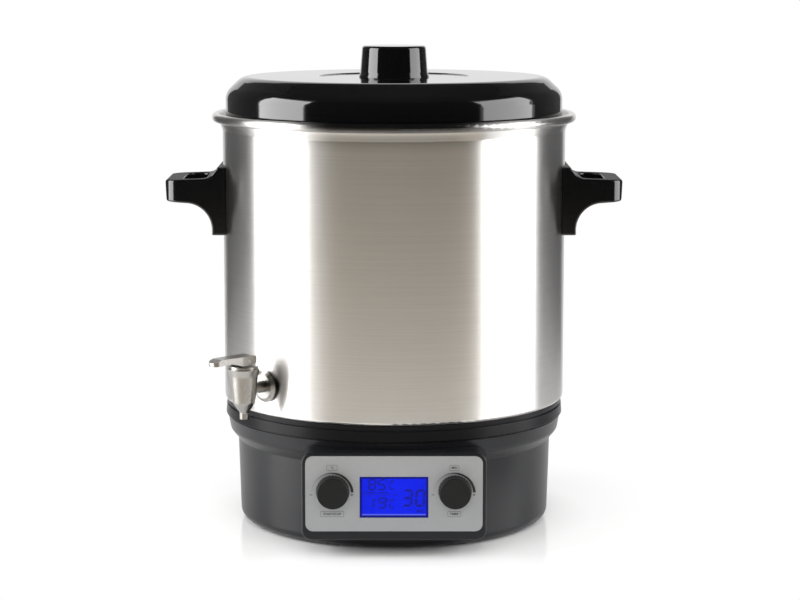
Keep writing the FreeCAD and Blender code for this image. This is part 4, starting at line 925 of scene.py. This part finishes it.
class COOKER_OT_panel(bpy.types.Operator):
    """Lacquers the panel and prints the arcs, signs and words round the dials"""

    bl_idname = "cooker.panel"
    bl_label = "Panel print"

    def execute(self, context):
        look = context.scene.cooker_panel
        black = context.scene.cooker_black
        dress(painted_silver("panel_silver", look.silver, rough=0.42), "panel_plate")
        dress(grained_plastic("dial_black", black.dial_colour, rough=0.42, grain=1500.0,
                              shine=0.22),
              "left_dial", "right_dial")
        front = PLATE_FRONT - look.film
        thick = look.film * 2
        ink = printed_ink("print_black", (0.012, 0.012, 0.012))
        for side, dial in (("left", LEFT_DIAL), ("right", RIGHT_DIAL)):
            fade = printed_ink(f"{side}_arc_ink", (0.008, 0.008, 0.008), grey(0.22),
                               dial.x - look.arc_radius, dial.x + look.arc_radius * 0.2)
            arc = raised_print(f"{side}_arc", dial_arc(dial, look), front, thick)
            finish_piece(arc, fade)
            above, below, wide, wider = WORDS[side]
            labels = (("heading", above, HEADING_LEVEL, wide),
                      ("button_word", below, BUTTON_LEVEL, wider))
            x = dial.x + LABEL_AT
            signs = dial_signs(dial)
            for _, _, level, width in labels:
                signs += label_frame(x, dial.z + level, width)
            finish_piece(raised_print(f"{side}_signs", signs, front, thick), ink)
            for kind, text, level, _ in labels:
                words = printed_words(f"{side}_{kind}", text, x, dial.z + level, LETTER_HEIGHT,
                                      front)
                finish_piece(words, ink)
        return {"FINISHED"}


class COOKER_OT_display(bpy.types.Operator):
    """Lights the display and sets its figures"""

    bl_idname = "cooker.display"
    bl_label = "Display"

    def execute(self, context):
        look = context.scene.cooker_panel
        dress(lit_display("lit_blue", shade(look.glow, 1.0), shade(look.glow, 0.78),
                          PANE_LOW, PANE_HIGH),
              "display_window")
        middle = (PANE_LOW + PANE_HIGH) / 2
        front = PANE_LOW.y - FIGURE_PLAY
        ink = lit_ink("figure_blue", look.figure)
        figures = raised_print("display_figures", display_figures(look, middle), front,
                               FIGURE_FILM)
        finish_piece(figures, ink)
        word = printed_words("display_minutes_word", "MIN", middle.x + MINUTES_AT,
                             middle.z + MINUTES_LEVEL, MINUTES_HEIGHT, front)
        finish_piece(word, ink)
        return {"FINISHED"}


class COOKER_OT_stage(bpy.types.Operator):
    """Sets up floor, room, cards, lamps and camera"""

    bl_idname = "cooker.stage"
    bl_label = "Studio"

    def execute(self, context):
        scene = context.scene
        look = scene.cooker_stage
        scene.view_settings.view_transform = "Standard"
        scene.world = studio_room(look.fill)
        put_floor()
        put_cards(look.room)
        put_lamps(look)
        scene.camera = photo_camera(look)
        return {"FINISHED"}


class COOKER_PT_sidebar(bpy.types.Panel):
    """Lists the steps that finish the cooker"""

    bl_idname = "COOKER_PT_sidebar"
    bl_label = "Preserving cooker"
    bl_space_type = "VIEW_3D"
    bl_region_type = "UI"
    bl_category = "Cooker"

    def draw(self, context):
        for step in STEPS:
            self.layout.operator(step.bl_idname)
        for name in SETTINGS:
            group = getattr(context.scene, name)
            box = self.layout.box()
            for field in group.bl_rna.properties:
                if field.identifier not in {"rna_type", "name"}:
                    box.prop(group, field.identifier)


STEPS = (
    COOKER_OT_steel,
    COOKER_OT_lid,
    COOKER_OT_base,
    COOKER_OT_tap,
    COOKER_OT_inside,
    COOKER_OT_panel,
    COOKER_OT_display,
    COOKER_OT_stage,
)
SETTINGS = {
    "cooker_steel": SteelSettings,
    "cooker_black": BlackSettings,
    "cooker_panel": PanelSettings,
    "cooker_stage": StageSettings,
}


def register():
    for group in SETTINGS.values():
        bpy.utils.register_class(group)
    for name, group in SETTINGS.items():
        setattr(bpy.types.Scene, name, PointerProperty(type=group))
    for step in STEPS + (COOKER_PT_sidebar,):
        bpy.utils.register_class(step)


def unregister():
    for step in (COOKER_PT_sidebar,) + STEPS:
        bpy.utils.unregister_class(step)
    for name, group in SETTINGS.items():
        delattr(bpy.types.Scene, name)
        bpy.utils.unregister_class(group)


def main():
    register()
    for step in STEPS:
        family, name = step.bl_idname.split(".")
        getattr(getattr(bpy.ops, family), name)()


if __name__ == "__main__":
    main()
